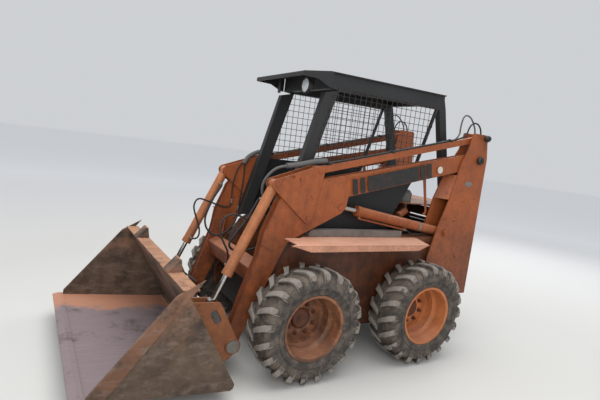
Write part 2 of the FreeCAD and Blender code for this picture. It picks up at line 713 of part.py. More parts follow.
def make_engine():
    block = box("EngineCase", "engine_rear_x", "engine_rear_x + engine_length", "-engine_half_width",
                "engine_half_width", "engine_low_z", "engine_high_z")
    feet = []
    for side, low in (("Left", "engine_half_width - 60"), ("Right", "-engine_half_width")):
        feet.append(box("EngineFoot" + side, "engine_rear_x + 60", "engine_rear_x + engine_length - 60", low,
                        low + " + 60", "belly_z + floor_plate", "engine_low_z"))
    keep(fuse("EngineBlock", block, *feet), "engine_block")


def make_rear_door():
    panel = box("RearDoorPlate", "rear_x", "rear_x + door_plate", "-tower_inner_y + door_gap",
                "tower_inner_y - door_gap", DOOR_LOW, DOOR_HIGH)
    holes = [
        upright("DoorHoleLow", "door_pin_radius + fit", DOOR_LOW + " - 1", DOOR_LOW + " + door_pin_length + fit"),
        upright("DoorHoleHigh", "door_pin_radius + fit", DOOR_HIGH + " - door_pin_length - fit", DOOR_HIGH + " + 1"),
    ]
    for side, low, high in (("Left", "slot_inner_y", "slot_outer_y"), ("Right", "-slot_outer_y", "-slot_inner_y")):
        for i in range(int(worth("slot_count"))):
            place = f"{DOOR_HIGH} - slot_top - {i} * slot_pitch"
            holes.append(box(f"DoorSlot{side}{i + 1}", "rear_x - 1", "rear_x + door_plate + 1", low, high,
                             place + " - slot_height", place))
    keep(cut("RearDoor", panel, fuse("DoorHoles", *holes)), "rear_door")


def make_seat():
    deck, riser = worth("seat_deck_z"), worth("seat_deck_x")
    front, thick = riser - worth("seat_ahead"), worth("seat_thickness")
    rear, head = front - worth("seat_depth"), deck + worth("seat_back_height")
    cushion = [
        (front, deck), (front, deck + thick + worth("seat_crown"), 40), (rear, deck + thick, 20), (rear, deck),
    ]
    cushion_rear = rear - worth("fit")
    back = [
        (cushion_rear, deck), (cushion_rear, deck + thick + 10), (rear + 60, deck + thick + 25),
        (rear + 30, head, 40), (rear + 30 - worth("seat_back_top"), head, 40),
        (rear + 30 - worth("seat_back_top"), deck),
    ]
    keep(plate("SeatCushion", "side", cushion, "-seat_half_width", "seat_half_width"), "seat_cushion")
    keep(plate("SeatBack", "side", back, "-seat_half_width", "seat_half_width"), "seat_back")


def make_levers():
    foot, riser = worth("cab_floor_z"), worth("seat_deck_x")
    x, bend = riser + worth("lever_ahead"), foot + worth("lever_bend")
    sticks = []
    for side, y in (("Left", worth("lever_y")), ("Right", -worth("lever_y"))):
        stem = rod("LeverStem" + side, (x, y, foot), (x, y, bend), "9")
        neck = rod("LeverNeck" + side, (x, y, bend), (x - 30, y, bend + 140), "9")
        grip = rod("LeverGrip" + side, (x - 24, y, bend + 112), (x - 52, y, bend + 243), "17")
        elbow = doc.addObject("Part::Sphere", "LeverElbow" + side)
        elbow.Placement.Base = Vector(x, y, bend)
        bind(elbow, "Radius", "9")
        sticks.append(fuse("Lever" + side, stem, elbow, neck, grip))
    keep(group("ControlLevers", *sticks), "control_levers")


# Roof frame

def make_rops():
    top, front, rear = worth("roof_z"), worth("roof_front_x"), worth("roof_rear_x")
    inner, outer = "panel_outer_y - panel_plate - post_width", "panel_outer_y - panel_plate"
    post_foot = worth("housing_top_z") + 10
    post_front = [
        (front + 42, top - 139), (front + 289, post_foot), (front + 209, post_foot), (front - 70, top - 109),
    ]
    header = [
        (front, top), (front, top - 104), (front - 60, top - worth("header_depth")),
        (rear + 30, top + 18 - worth("header_depth")), (rear, top + 18),
    ]
    post_rear = [
        (rear + 43, top - 88), (rear - 171, worth("hood_z")), (rear - 245, worth("hood_z")), (rear - 28, top - 80),
        (rear, top - 8),
    ]
    head = Vector(worth("brace_top_x"), top - worth("brace_drop"), 0)
    foot = Vector(worth("brace_foot_x"), worth("panel_top_z"), 0)
    way = foot - head
    way.normalize()
    aside = Vector(-way.y, way.x, 0) * (worth("brace_width") / 2)
    head, foot = head - way * 30, foot + way * 40
    brace = [(head + aside)[:2], (foot + aside)[:2], (foot - aside)[:2], (head - aside)[:2]]
    parts = [
        plate("RopsPostFront", "side", post_front, inner, outer),
        plate("RopsHeader", "side", header, inner, outer),
        plate("RopsPostRear", "side", post_rear, inner, outer),
        plate("RopsBrace", "side", brace, outer + " - brace_width", outer),
    ]
    left = fuse("RopsSide", *parts)
    right = mirror("RopsSideRight", left)
    span_low, span_high = "-(panel_outer_y - panel_plate)", "panel_outer_y - panel_plate"
    front_bar = box("RopsFrontBar", "roof_front_x - 50", "roof_front_x", span_low, span_high, "roof_z - 104", "roof_z")
    rear_bar = box("RopsRearBar", "roof_rear_x", "roof_rear_x + 50", span_low, span_high, "roof_z - 60", "roof_z + 10")
    keep(fuse("RopsFrame", left, right, front_bar, rear_bar), "rops_frame")


def clipped(corners, border):
    """What of a convex outline lies inside a convex border, both anticlockwise."""
    for i, start in enumerate(border):
        end = border[(i + 1) % len(border)]
        depth = [(end[0] - start[0]) * (v - start[1]) - (end[1] - start[1]) * (u - start[0]) for u, v in corners]
        kept = []
        for j, corner in enumerate(corners):
            k = (j + 1) % len(corners)
            if depth[j] >= 0:
                kept.append(corner)
            if depth[j] * depth[k] < 0:
                kept.append(between(corner, corners[k], depth[j] / (depth[j] - depth[k])))
        corners = kept
    return corners


def make_side_screens():
    """Welded wire screens that lie on the outside of the posts, above the side panels."""
    top, front, rear = worth("roof_z"), worth("roof_front_x"), worth("roof_rear_x")
    sill, edge, wire, pitch = (worth(n) for n in ("panel_top_z", "screen_edge", "screen_wire", "screen_pitch"))
    low = sill + worth("fit")
    post_low, post_high = (front + 209, worth("housing_top_z") + 10), (front - 70, top - 109)
    post_at = between(post_low, post_high, (low - post_low[1]) / (post_high[1] - post_low[1]))
    opening = [
        (worth("brace_foot_x"), low + edge), (post_at[0], low + edge), (front - 62, top - worth("header_depth")),
        (worth("brace_top_x"), top + 16 - worth("header_depth")),
    ]
    border = [
        (opening[0][0] - edge, low), (opening[1][0] + edge, low), (opening[2][0] + edge, opening[2][1] + edge),
        (opening[3][0] - edge, opening[3][1] + edge),
    ]
    rings = [border]
    for column in range(int((border[1][0] - border[3][0]) // pitch) + 1):
        for row in range(int((border[3][1] - low) // pitch) + 1):
            u, v = border[3][0] + pitch * column, opening[0][1] + pitch * row
            cell = [(u, v), (u + pitch - wire, v), (u + pitch - wire, v + pitch - wire), (u, v + pitch - wire)]
            cell = clipped(cell, opening)
            spans = [max(c[axis] for c in cell) - min(c[axis] for c in cell) for axis in (0, 1)] if cell else [0]
            if min(spans) > 2 * wire:
                rings.append(cell)
    wires = [Part.makePolygon([Vector(u, worth("panel_outer_y") - worth("panel_plate"), v) for u, v in ring + ring[:1]])
             for ring in rings]
    screen = doc.addObject("Part::Feature", "SideScreen")
    screen.Shape = Part.makeFace(wires, "Part::FaceMakerBullseye").extrude(Vector(0, wire, 0))
    keep_both_sides(screen, "side_screens")


def make_roof():
    """Roof plate that runs on into a visor with a lip, side plates and two lamp brackets."""
    top, front, rear = worth("roof_z"), worth("roof_front_x"), worth("roof_rear_x")
    reach, lip = worth("visor_reach"), worth("visor_lip")
    outline = [
        (rear, top + 18), (front, top), (front + reach - 8, top - 36), (front + reach - 8, top - 30 - lip),
        (front + reach, top - 30 - lip), (front + reach, top - 30, 10), (front + 20, top + 7, 30), (rear, top + 26),
    ]
    half = "panel_outer_y + 8"
    pieces = [plate("RoofPlate", "side", outline, f"-({half})", half)]
    gusset = [
        (front, top), (front, top - 104), (front + 30, top - 100, 30), (front + 120, top - 62, 60),
        (front + reach - 4, top - 30 - lip), (front + reach - 4, top - 34),
    ]
    for side, low, high in (("Left", "panel_outer_y + 2", half), ("Right", f"-({half})", "-(panel_outer_y + 2)")):
        pieces.append(plate("VisorSide" + side, "side", gusset, low, high))
    for side, place in (("Left", "lamp_y"), ("Right", "-lamp_y")):
        pieces.append(box("LampBracket" + side, "lamp_bracket_x", "lamp_bracket_x + lamp_bracket_plate",
                          place + " - 18", place + " + 18", "roof_z - lamp_drop - 24", "roof_z - 10"))
    keep(fuse("Roof", *pieces), "rops_roof")


def make_lamp():
    """A cup with a recessed glass, bolted to the front of its bracket."""
    rim, glass = worth("lamp_radius"), worth("lamp_radius") - 8
    back, face = worth("lamp_bracket_x") + worth("lamp_bracket_plate"), worth("lamp_x")
    profile = [
        (back, 0), (back, 20), (back + 12, 30), (back + 30, rim - 6), (face - 18, rim - 3), (face - 12, rim),
        (face, rim), (face, glass), (face - 7, glass), (face - 4, 0),
    ]
    body = doc.addObject("PartDesign::Body", "LampCase")
    sketch = sketch_in(body, "XZ_Plane", rounded(profile))
    turn = body.newObject("PartDesign::Revolution", "LampCaseTurn")
    turn.Profile = sketch
    turn.ReferenceAxis = (sketch, ["H_Axis"])
    turn.Angle = 360
    bind(body, "Placement.Base.y", "lamp_y")
    bind(body, "Placement.Base.z", "roof_z - lamp_drop")
    keep(body, "work_lamp")


# Lift arms and their linkage

def make_arms():
    pivot_x, pivot_z = pin_at("arm_pivot")
    eye_x, eye_z = pin_at("lift_eye")
    crank_x, crank_z = pin_at("crank_pivot")
    hinge_x, hinge_z = pin_at("bucket_pivot")
    outline = [
        (pivot_x - 62, pivot_z - 50, 50), (eye_x - 52, eye_z + 75), (eye_x - 44, eye_z - 4, 20),
        (eye_x - 8, eye_z - 46, 24), (crank_x + 110, crank_z - 156), (crank_x + 154, crank_z - 220),
        (hinge_x - 235, hinge_z + 472), (hinge_x - 52, hinge_z + 32, 40), (hinge_x - 52, hinge_z - 48, 44),
        (hinge_x + 48, hinge_z - 48, 44), (hinge_x + 30, hinge_z + 90), (hinge_x - 37, hinge_z + 321),
        (hinge_x - 119, hinge_z + 577), (crank_x + 307, crank_z - 106), (crank_x + 258, crank_z + 20),
        (crank_x + 234, crank_z + 92, 30), (crank_x + 149, crank_z + 216, 30), (eye_x - 39, eye_z + 230),
        (pivot_x - 62, pivot_z + 76, 50),
    ]
    holes = [(crank_x, crank_z, worth("pin_radius")), (hinge_x, hinge_z, worth("pin_radius") + worth("fit")),
             (pivot_x, pivot_z, worth("pin_radius") + 6 + worth("fit"))]
    outside = plate("ArmOuter", "side", outline, "arm_outer_y - arm_plate", "arm_outer_y", holes)
    inside = plate("ArmInner", "side", outline, "arm_inner_y", "arm_inner_y + arm_plate", holes)
    core_rear = [
        (pivot_x - 50, pivot_z - 42, 40), (eye_x - 60, eye_z + 84), (eye_x + 60, eye_z + 60),
        (crank_x + 40, crank_z - 100), (crank_x + 125, crank_z - 170), (hinge_x - 225, hinge_z + 472),
        (hinge_x - 60, hinge_z + 62), (hinge_x + 25, hinge_z + 62), (hinge_x - 47, hinge_z + 321),
        (hinge_x - 129, hinge_z + 577), (crank_x + 290, crank_z - 106), (crank_x + 245, crank_z + 10),
        (crank_x + 215, crank_z + 80), (crank_x + 140, crank_z + 205), (eye_x - 39, eye_z + 220),
        (pivot_x - 50, pivot_z + 66, 40),
    ]
    pivot_hole = [(pivot_x, pivot_z, worth("pin_radius") + 6 + worth("fit")), (crank_x, crank_z, worth("pin_radius"))]
    core = plate("ArmCore", "side", core_rear, "arm_inner_y", "arm_outer_y", pivot_hole)
    pins = [
        pin("LiftEyeHeadOuter", "lift_eye", "pin_radius + 8", "arm_outer_y - arm_plate", "arm_outer_y + 4"),
        pin("LiftEyeHeadInner", "lift_eye", "pin_radius + 8", "arm_inner_y - 4", "arm_inner_y + arm_plate"),
        pin("CrankPin", "crank_pivot", "pin_radius", "arm_inner_y - side_gap - crank_plate - 1",
            "arm_outer_y + side_gap + crank_plate + 4"),
    ]
    lock_top, lock_low = (pivot_x + 508, pivot_z - 160), (pivot_x + 425, pivot_z - 488)
    lock = [
        (lock_top[0] - 16, lock_top[1] + 16, 12), (lock_low[0] - 12, lock_low[1] + 20, 12),
        (lock_low[0] + 2, lock_low[1] - 14, 12), (lock_low[0] + 34, lock_low[1] - 6, 8),
        (lock_low[0] + 30, lock_low[1] + 10), (lock_low[0] + 14, lock_low[1] + 12),
        (lock_low[0] + 14, lock_low[1] + 32), (lock_top[0] + 16, lock_top[1] + 8, 12),
    ]
    support = plate("ArmLock", "side", lock, "arm_inner_y - lock_off - lock_plate", "arm_inner_y - lock_off")
    boss = plate("ArmLockBoss", "side", [
        (lock_top[0] - 12, lock_top[1] - 12, 6), (lock_top[0] + 12, lock_top[1] - 12, 6),
        (lock_top[0] + 12, lock_top[1] + 12, 6), (lock_top[0] - 12, lock_top[1] + 12, 6),
    ], "arm_inner_y - lock_off - lock_plate", "arm_inner_y + arm_plate")
    knee = (crank_x + 236, crank_z - 227)
    recess = [
        (knee[0] + 150, knee[1] + 76), knee, (knee[0] - 187, knee[1] + 96), (knee[0] - 187, hinge_z - 120),
        (hinge_x + 120, hinge_z - 120), (hinge_x + 120, knee[1] + 76),
    ]
    step = plate("KneeStep", "side", recess, "arm_outer_y - knee_step", "arm_outer_y + 1",
                 [(hinge_x, hinge_z, 40)])
    left = cut("LiftArm", fuse("LiftArmSolid", outside, inside, core, support, boss, *pins), step)
    keep_pair(left, "lift_arm")
    cross = [
        (crank_x + 239, crank_z - 420, 10), (crank_x + 258, crank_z - 318, 10), (crank_x + 354, crank_z - 362, 10),
        (crank_x + 330, crank_z - 476, 10),
    ]
    beam = plate("CrossBeam", "side", cross, "-(arm_inner_y)", "arm_inner_y")
    wide, low, high = worth("arm_inner_y"), (crank_x + 280, crank_z - 350), (crank_x + 236, crank_z - 158)
    gusset = loft("CrossGusset", *[
        [(x, wide, z), (x + 9, wide, z), (x + 9, wide - reach, z), (x, wide - reach, z)]
        for (x, z), reach in ((low, 100), (high, 34))])
    keep(fuse("ArmCrossMember", beam, gusset, mirror("CrossGussetRight", gusset)), "arm_cross_member")


def pin_heads(name, at, proud=4):
    """The ends of a pin in the plates beside an arm, where the eye carries the pin itself."""
    return [
        pin(name + "HeadOuter", at, "pin_radius", "arm_outer_y + side_gap",
            f"arm_outer_y + side_gap + crank_plate + {proud}"),
        pin(name + "HeadInner", at, "pin_radius", "arm_inner_y - side_gap - crank_plate", "arm_inner_y - side_gap"),
    ]


def make_cranks():
    circles = [
        pin_at("crank_pivot") + (36,), pin_at("crank_tilt") + (38,), pin_at("crank_link") + (36,),
    ]
    holes = [pin_at("crank_pivot") + (worth("pin_radius") + worth("fit"),)]
    outer = plate("CrankOuter", "side", belt(circles), "arm_outer_y + side_gap",
                  "arm_outer_y + side_gap + crank_plate", holes)
    inner = plate("CrankInner", "side", belt(circles), "arm_inner_y - side_gap - crank_plate",
                  "arm_inner_y - side_gap", holes)
    pins = [
        pin("CrankTiltPin", "crank_tilt", "pin_radius", "arm_inner_y - side_gap - crank_plate",
            "arm_outer_y + side_gap + crank_plate + 4"),
    ] + pin_heads("CrankLink", "crank_link")
    keep_pair(fuse("BellCrank", outer, inner, *pins), "bell_crank")


MIDDLE_LOW = "(arm_inner_y + arm_outer_y) / 2"


def make_links():
    front, rear = pin_at("crank_link"), pin_at("link_pivot")
    way = Vector(rear[0] - front[0], rear[1] - front[1], 0)
    way.normalize()
    side = Vector(-way.y, way.x, 0) * worth("link_half_depth")
    start = Vector(*front, 0) + way * 20
    end = Vector(*rear, 0) - way * 20
    outline = [(start + side)[:2], (end + side)[:2], (end - side)[:2], (start - side)[:2]]
    bar = plate("LinkBar", "side", outline, MIDDLE_LOW + " - 24", MIDDLE_LOW + " + 24")
    eyes = []
    for end_name, at in (("Front", "crank_link"), ("Rear", "link_pivot")):
        eyes.append(pin("LinkEye" + end_name, at, "eye_radius", MIDDLE_LOW + " - 30", MIDDLE_LOW + " + 30"))
    front_pin = pin("LinkFrontPin", "crank_link", "pin_radius", "arm_inner_y - side_gap + fit",
                    "arm_outer_y + side_gap - fit")
    bore = pin("LinkBoreRear", "link_pivot", "pin_radius + fit", MIDDLE_LOW + " - 31", MIDDLE_LOW + " + 31")
    keep_pair(cut("LevellingLink", fuse("LinkSolid", bar, front_pin, *eyes), bore), "levelling_link")


def oil_tube(title, foot, way, gland):
    """A port at the gland, and a tube from it along the underside to a clamp on the barrel."""
    down = Vector(way.z, 0, -way.x)
    drop, band = down * worth("tube_drop"), foot + way * worth("clamp_place")
    port = gland - way * 45
    return [
        rod(title + "Port", port, port + down * (worth("tube_drop") + 3), "port_radius"),
        rod(title + "OilTube", port + drop, band - way * 30 + drop, "tube_radius"),
        rod(title + "Band", band - way * 9, band + way * 9, "lift_barrel_radius + 2"),
        rod(title + "Clamp", band, band + drop, "port_radius"),
    ]


def oil_ports(title, foot, way, gland):
    """Ports near both ends, towards the middle of the machine."""
    inward = Vector(0, -1, 0) * (worth("tilt_barrel_radius") + 14)
    ports = []
    for end, place in (("Base", foot + way * 120), ("Rod", gland - way * 50)):
        ports.append(rod(title + "Port" + end, place, place + inward, "port_radius"))
    return ports


def make_cylinder(name, base, head, eye_width, stem_start, head_pin, fittings):
    """Barrel hinged at base and rod eye at head, both in the arm's middle plane.

    The rod reaches back to stem_start from the base pin, and carries the head pin
    between two depths.
    """
    barrel_radius, rod_radius = name + "_barrel_radius", name + "_rod_radius"
    middle = (worth("arm_inner_y") + worth("arm_outer_y")) / 2
    foot = Vector(size[base + "_x"], middle, size[base + "_z"])
    tip = Vector(size[head + "_x"], middle, size[head + "_z"])
    way = tip - foot
    way.normalize()
    title = name.title()
    gland = foot + way * worth(name + "_barrel_length")
    tube = rod(title + "Tube", foot + way * 34, gland, barrel_radius)
    bore = rod(title + "Bore", foot + way * 60, gland + way * 2, rod_radius + " + fit")
    eye = pin(title + "BaseEye", base, "eye_radius", MIDDLE_LOW + f" - {eye_width}", MIDDLE_LOW + f" + {eye_width}")
    hole = pin(title + "BaseHole", base, "pin_radius + fit", MIDDLE_LOW + f" - {eye_width + 1}",
               MIDDLE_LOW + f" + {eye_width + 1}")
    neck = rod(title + "Neck", foot + way * 20, foot + way * 40, barrel_radius + " - 9")
    collar = rod(title + "Gland", gland - way * worth("gland_length"), gland, barrel_radius + " + gland_rim")
    extras = fittings(title, foot, way, gland)
    body = cut(title + "Barrel", fuse(title + "BarrelSolid", tube, eye, neck, collar, *extras),
               fuse(title + "BarrelHoles", bore, hole))
    keep_pair(body, name + "_barrel")
    stem = rod(title + "Stem", foot + way * worth(stem_start), tip - way * 15, rod_radius)
    head_eye = pin(title + "HeadEye", head, "eye_radius", MIDDLE_LOW + " - 23", MIDDLE_LOW + " + 23")
    keep_pair(fuse(title + "Rod", stem, head_eye, pin(title + "HeadPin", head, "pin_radius", *head_pin)), name + "_rod")


# Bucket, its pins and its coupler

def make_bucket_pins():
    """The bucket's hinge pins, joined by a tube with a weep hole across the machine."""
    end = "(arm_inner_y - side_gap - crank_plate - fit)"
    plug = end + " - pivot_tube_plug"
    tube = pin("PivotTube", "bucket_pivot", "pivot_tube_radius", "-" + end, end)
    bore = pin("PivotTubeBore", "bucket_pivot", "pivot_tube_radius - pivot_tube_wall", f"-({plug})", plug)
    weep = doc.addObject("Part::Cylinder", "PivotTubeWeep")
    bind(weep, "Radius", "8")
    bind(weep, "Height", "pivot_tube_radius + 5")
    bind(weep, "Placement.Base.x", "bucket_pivot_x")
    bind(weep, "Placement.Base.z", "bucket_pivot_z - pivot_tube_radius - 5")
    hollow = cut("PivotTubeHollow", tube, fuse("PivotTubeInside", bore, weep))
    outer = "arm_outer_y + side_gap + crank_plate"
    left = fuse("BucketPin", pin("BucketPinShank", "bucket_pivot", "pin_radius", plug, outer + " + fit + 2"),
                pin("BucketPinHead", "bucket_pivot", "pivot_tube_radius - 1", outer + " + fit", outer + " + 13"))
    keep(fuse("BucketPins", hollow, left, mirror("BucketPinRight", left)), "bucket_pins")


def make_coupler():
    hinge, eye = pin_at("bucket_pivot"), pin_at("tilt_eye")
    heel, top = pin_at("bucket_heel"), pin_at("bucket_top")
    back = Vector(top[0] - heel[0], top[1] - heel[1], 0)
    back.normalize()
    off = Vector(-back.y, back.x, 0)
    gap = worth("fit")

    def on_back(up, behind):
        spot = Vector(*heel, 0) + back * up + off * behind
        return (spot.x, spot.y)

    outline = [
        on_back(10, gap), on_back(430, gap), on_back(470, 30) + (20,), (eye[0] - 44, eye[1] + 20, 25),
        (hinge[0] - 46, hinge[1] + 10, 40), (hinge[0] - 30, hinge[1] - 44, 35), on_back(-10, 40) + (10,),
    ]
    holes = [hinge + (worth("pin_radius") + worth("fit"),)]
    face = plate("CouplerFace", "side", outline, "arm_outer_y + side_gap", "arm_outer_y + side_gap + crank_plate",
                 holes)
    way = Vector(eye[0] - hinge[0], eye[1] - hinge[1], 0)
    way.normalize()
    aside, middle = Vector(-way.y, way.x, 0), Vector(eye[0] - 20, eye[1] - 74, 0)
    window = [(middle + way * u + aside * v)[:2] + (16,) for u, v in ((-46, -24), (46, -24), (46, 24), (-46, 24))]
    opening = plate("CouplerWindow", "side", window, "arm_outer_y + side_gap - 1",
                    "arm_outer_y + side_gap + crank_plate + 1")
    seat = "arm_outer_y + side_gap + crank_plate"
    ring = pin("CouplerCollarSolid", "bucket_pivot", "pivot_tube_radius + 8", seat, seat + " + 10")
    bore = pin("CouplerCollarBore", "bucket_pivot", "pivot_tube_radius + fit", seat, seat + " + 11")
    collar = cut("CouplerCollar", ring, bore)
    outer = fuse("CouplerOuter", cut("CouplerFaceOpen", face, opening), collar)
    inner = plate("CouplerInner", "side", outline, "arm_inner_y - side_gap - crank_plate", "arm_inner_y - side_gap",
                  holes)
    beam = [on_back(60, gap), on_back(430, gap), on_back(430, 16), on_back(60, 16)]
    cross = plate("CouplerBeam", "side", beam, "-(arm_outer_y + side_gap + crank_plate)",
                  "arm_outer_y + side_gap + crank_plate")
    left = fuse("CouplerSide", outer, inner, *pin_heads("TiltEye", "tilt_eye", 0))
    keep(fuse("Coupler", left, mirror("CouplerSideRight", left), cross), "bucket_coupler")


def make_bucket():
    heel, top, tip = pin_at("bucket_heel"), pin_at("bucket_top"), pin_at("bucket_tip")
    wall = worth("bucket_plate")
    floor_front = between(heel, tip, 0.92)
    along = Vector(tip[0] - heel[0], tip[1] - heel[1], 0)
    along.normalize()
    lift = Vector(-along.y, along.x, 0)
    back = Vector(top[0] - heel[0], top[1] - heel[1], 0)
    back.normalize()
    inward = Vector(back.y, -back.x, 0)

    def spot(base, *moves):
        place = Vector(*base, 0)
        for way, far in moves:
            place = place + way * far
        return (place.x, place.y)

    middle = back + along
    middle.normalize()
    bend = worth("heel_radius")
    inner_heel = spot(heel, (middle, wall / math.sin(back.getAngle(along) / 2)))
    shell = [
        heel + (bend,), spot(floor_front), spot(floor_front, (lift, wall)), inner_heel + (bend - wall,),
        spot(top, (inward, wall)), spot(top),
    ]
    cheek_out = "(bucket_half_width - cheek_strip)"
    skin = plate("BucketSkin", "side", shell, "-" + cheek_out, cheek_out)
    side = [
        heel + (bend,), spot(floor_front), spot(floor_front, (lift, 40)), spot(top, (inward, 60)), spot(top),
    ]
    cheek = plate("BucketCheek", "side", side, cheek_out + " - bucket_plate", cheek_out)
    low, high = side[2], side[3]
    rim = Vector(high[0] - low[0], high[1] - low[1], 0)
    rim.normalize()
    wide = worth("cheek_strip_width")
    strip = [
        side[1], low, high, spot(high, (inward, -wide / math.sin(rim.getAngle(inward)))),
        spot(side[1], (along, -wide / math.sin(rim.getAngle(along)))),
    ]
    facing = plate("CheekStrip", "side", strip, cheek_out, "bucket_half_width")
    ledge = box("BucketLedge", "bucket_top_x - ledge_rear", "bucket_top_x + ledge_front", "-" + cheek_out, cheek_out,
                "bucket_top_z - bucket_plate", "bucket_top_z")
    wedge = [
        (top[0] - worth("ledge_rear") + 2, top[1] - 1), (top[0] + worth("ledge_front") - 2, top[1] - 1),
        (top[0] + worth("ledge_front") - 2, top[1] + 6), (top[0] - 46, top[1] + worth("stop_height")),
        (top[0] - 56, top[1] + worth("stop_height")),
    ]
    stop = plate("WedgeStop", "side", wedge, "stop_low_y", "stop_high_y")
    left = fuse("BucketSide", cheek, facing, stop)
    keep(fuse("BucketShell", skin, ledge, left, mirror("BucketSideRight", left)), "bucket_shell")
    edge = [
        spot(tip), spot(tip, (lift, 5)), spot(floor_front, (along, 30), (lift, worth("edge_plate"))),
        spot(floor_front, (along, worth("fit")), (lift, worth("edge_plate"))),
        spot(floor_front, (along, worth("fit"))),
    ]
    keep(plate("CuttingEdge", "side", edge, "-(bucket_half_width)", "bucket_half_width"), "cutting_edge")


def check_document():
    doc.recompute()
    for thing in doc.Objects:
        if {"Invalid", "Error"} & set(thing.State):
            raise RuntimeError(f"{thing.Label} failed: {thing.State}")
    for thing in nodes:
        if thing.Shape.isNull() or not thing.Shape.isValid() or not thing.Shape.Solids:
            raise RuntimeError(f"{thing.Label} has no sound solid")


def write_parts():
    os.makedirs("parts", exist_ok=True)
    for thing in nodes:
        thing.Shape.exportStep(f"parts/{thing.Label}.step")
        print(thing.Label, len(thing.Shape.Solids), round(thing.Shape.Volume / 1e6, 2), "litres")


make_wheels()
make_axle_housings()
make_chain_housings()
make_steps()
make_sills()
make_side_panels()
make_belly()
make_cab_floor()
make_towers()
make_rear_frame()
make_hood()
make_engine()
make_rear_door()
make_seat()
make_levers()
make_rops()
make_side_screens()
make_roof()
make_lamp()
make_arms()
make_cranks()
make_links()
make_cylinder("lift", "lift_base", "lift_eye", 30, "lift_rod_start",
              ("arm_inner_y + arm_plate + fit", "arm_outer_y - arm_plate - fit"), oil_tube)
make_cylinder("tilt", "crank_tilt", "tilt_eye", 32, "tilt_rod_start",
              ("arm_inner_y - side_gap + fit", "arm_outer_y + side_gap - fit"), oil_ports)
make_bucket_pins()
make_coupler()
make_bucket()
check_document()
write_parts()
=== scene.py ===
"""Skid steer loader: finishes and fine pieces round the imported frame."""

import functools
import math

import bmesh
import bpy
from mathutils import Matrix, Vector


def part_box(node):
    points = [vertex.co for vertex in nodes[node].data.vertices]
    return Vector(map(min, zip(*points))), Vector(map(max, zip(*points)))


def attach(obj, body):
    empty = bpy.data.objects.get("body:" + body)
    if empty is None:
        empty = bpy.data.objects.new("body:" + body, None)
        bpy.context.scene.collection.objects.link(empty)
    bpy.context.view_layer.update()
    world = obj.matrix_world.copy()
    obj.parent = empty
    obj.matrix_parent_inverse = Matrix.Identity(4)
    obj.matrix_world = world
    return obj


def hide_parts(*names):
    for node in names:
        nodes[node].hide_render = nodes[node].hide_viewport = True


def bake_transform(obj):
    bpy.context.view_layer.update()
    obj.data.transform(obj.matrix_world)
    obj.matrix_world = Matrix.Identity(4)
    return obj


bl_info = {
    "name": "Skid steer loader",
    "version": (1, 0, 0),
    "blender": (4, 5, 0),
    "location": "View3D > Sidebar > Loader",
    "description": "Tyres, hoses, screens, seat and weathered finishes of a skid steer loader",
    "category": "Object",
}

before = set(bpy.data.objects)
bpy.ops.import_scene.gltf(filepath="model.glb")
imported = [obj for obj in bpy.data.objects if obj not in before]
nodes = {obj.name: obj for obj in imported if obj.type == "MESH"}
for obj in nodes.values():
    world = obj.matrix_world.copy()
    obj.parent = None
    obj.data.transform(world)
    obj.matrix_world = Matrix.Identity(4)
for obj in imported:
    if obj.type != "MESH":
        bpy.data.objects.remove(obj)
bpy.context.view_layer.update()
ACROSS = Vector((0, 1, 0))
UP = Vector((0, 0, 1))
WHEELS = [(end, side) for end in ("front", "rear") for side in ("left", "right")]
SIDES = {"left": 1, "right": -1}
# From the machine's middle to the middle of an arm and to a tower's outer face, how steeply a link falls, and
# how far a pin's head stands out from its plate.
ARM_MIDDLE, TOWER_FACE, LINK_SLOPE, PIN_HEAD = 0.435, 0.4918, 0.2508, 0.004
AXLE = {wheel: sum(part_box("tyre_%s_%s" % wheel), Vector()) / 2 for wheel in WHEELS}
tyre_low, tyre_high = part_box("tyre_front_left")
rim_low, rim_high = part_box("rim_front_left")
TYRE_RADIUS, TYRE_HALF = (tyre_high.z - tyre_low.z) / 2, (tyre_high.y - tyre_low.y) / 2
RIM_RADIUS, RIM_HALF = (rim_high.z - rim_low.z) / 2, rim_high.y - AXLE["front", "left"].y
LUG_DEPTH, BEAD_RADIUS, DISC_OUT = 0.026, 0.212, -0.07
# How far the wheels have rolled, in radians.
WHEEL_TURN = {"front": 0.05, "rear": 0.13}


class LoaderSettings(bpy.types.PropertyGroup):
    """Sizes and colours that a user would change."""
    orange: bpy.props.StringProperty(
        name="Orange", description="Sun-bleached orange enamel, as sRGB hex", default="#B05C2A")
    orange_deep: bpy.props.StringProperty(
        name="Deep orange", description="Enamel that the sun has not reached, as sRGB hex", default="#7A3D1B")
    lug_count: bpy.props.IntProperty(
        name="Lugs", description="Lugs on each side of a tyre", default=20, min=12, max=28)
    lug_sweep: bpy.props.FloatProperty(
        name="Lug sweep", description="Lean of a lug between middle and shoulder", default=0.062, unit="LENGTH")
    lug_width: bpy.props.FloatProperty(
        name="Lug width", description="Width of a lug round the tyre", default=0.046, unit="LENGTH")
    rim_steps: bpy.props.IntProperty(
        name="Rim steps", description="Segments round a rim", default=96, min=24, max=192)


def settings():
    """What the user set."""
    return bpy.context.scene.loader_settings


# Meshes

def add_object(name, data):
    """Put a new object in the scene."""
    made = bpy.data.objects.new(name, data)
    bpy.context.scene.collection.objects.link(made)
    return made


def coat(data, finish):
    """Give a whole mesh one finish."""
    data.materials.clear()
    data.materials.append(materials[finish])


def coated(data, name, finish, smooth=None):
    """Put a mesh in the scene with its finish, smooth up to an angle in degrees."""
    piece = add_object(name, data)
    coat(data, finish)
    if smooth is not None:
        data.shade_smooth()
        data.set_sharp_from_angle(angle=math.radians(smooth))
    return piece


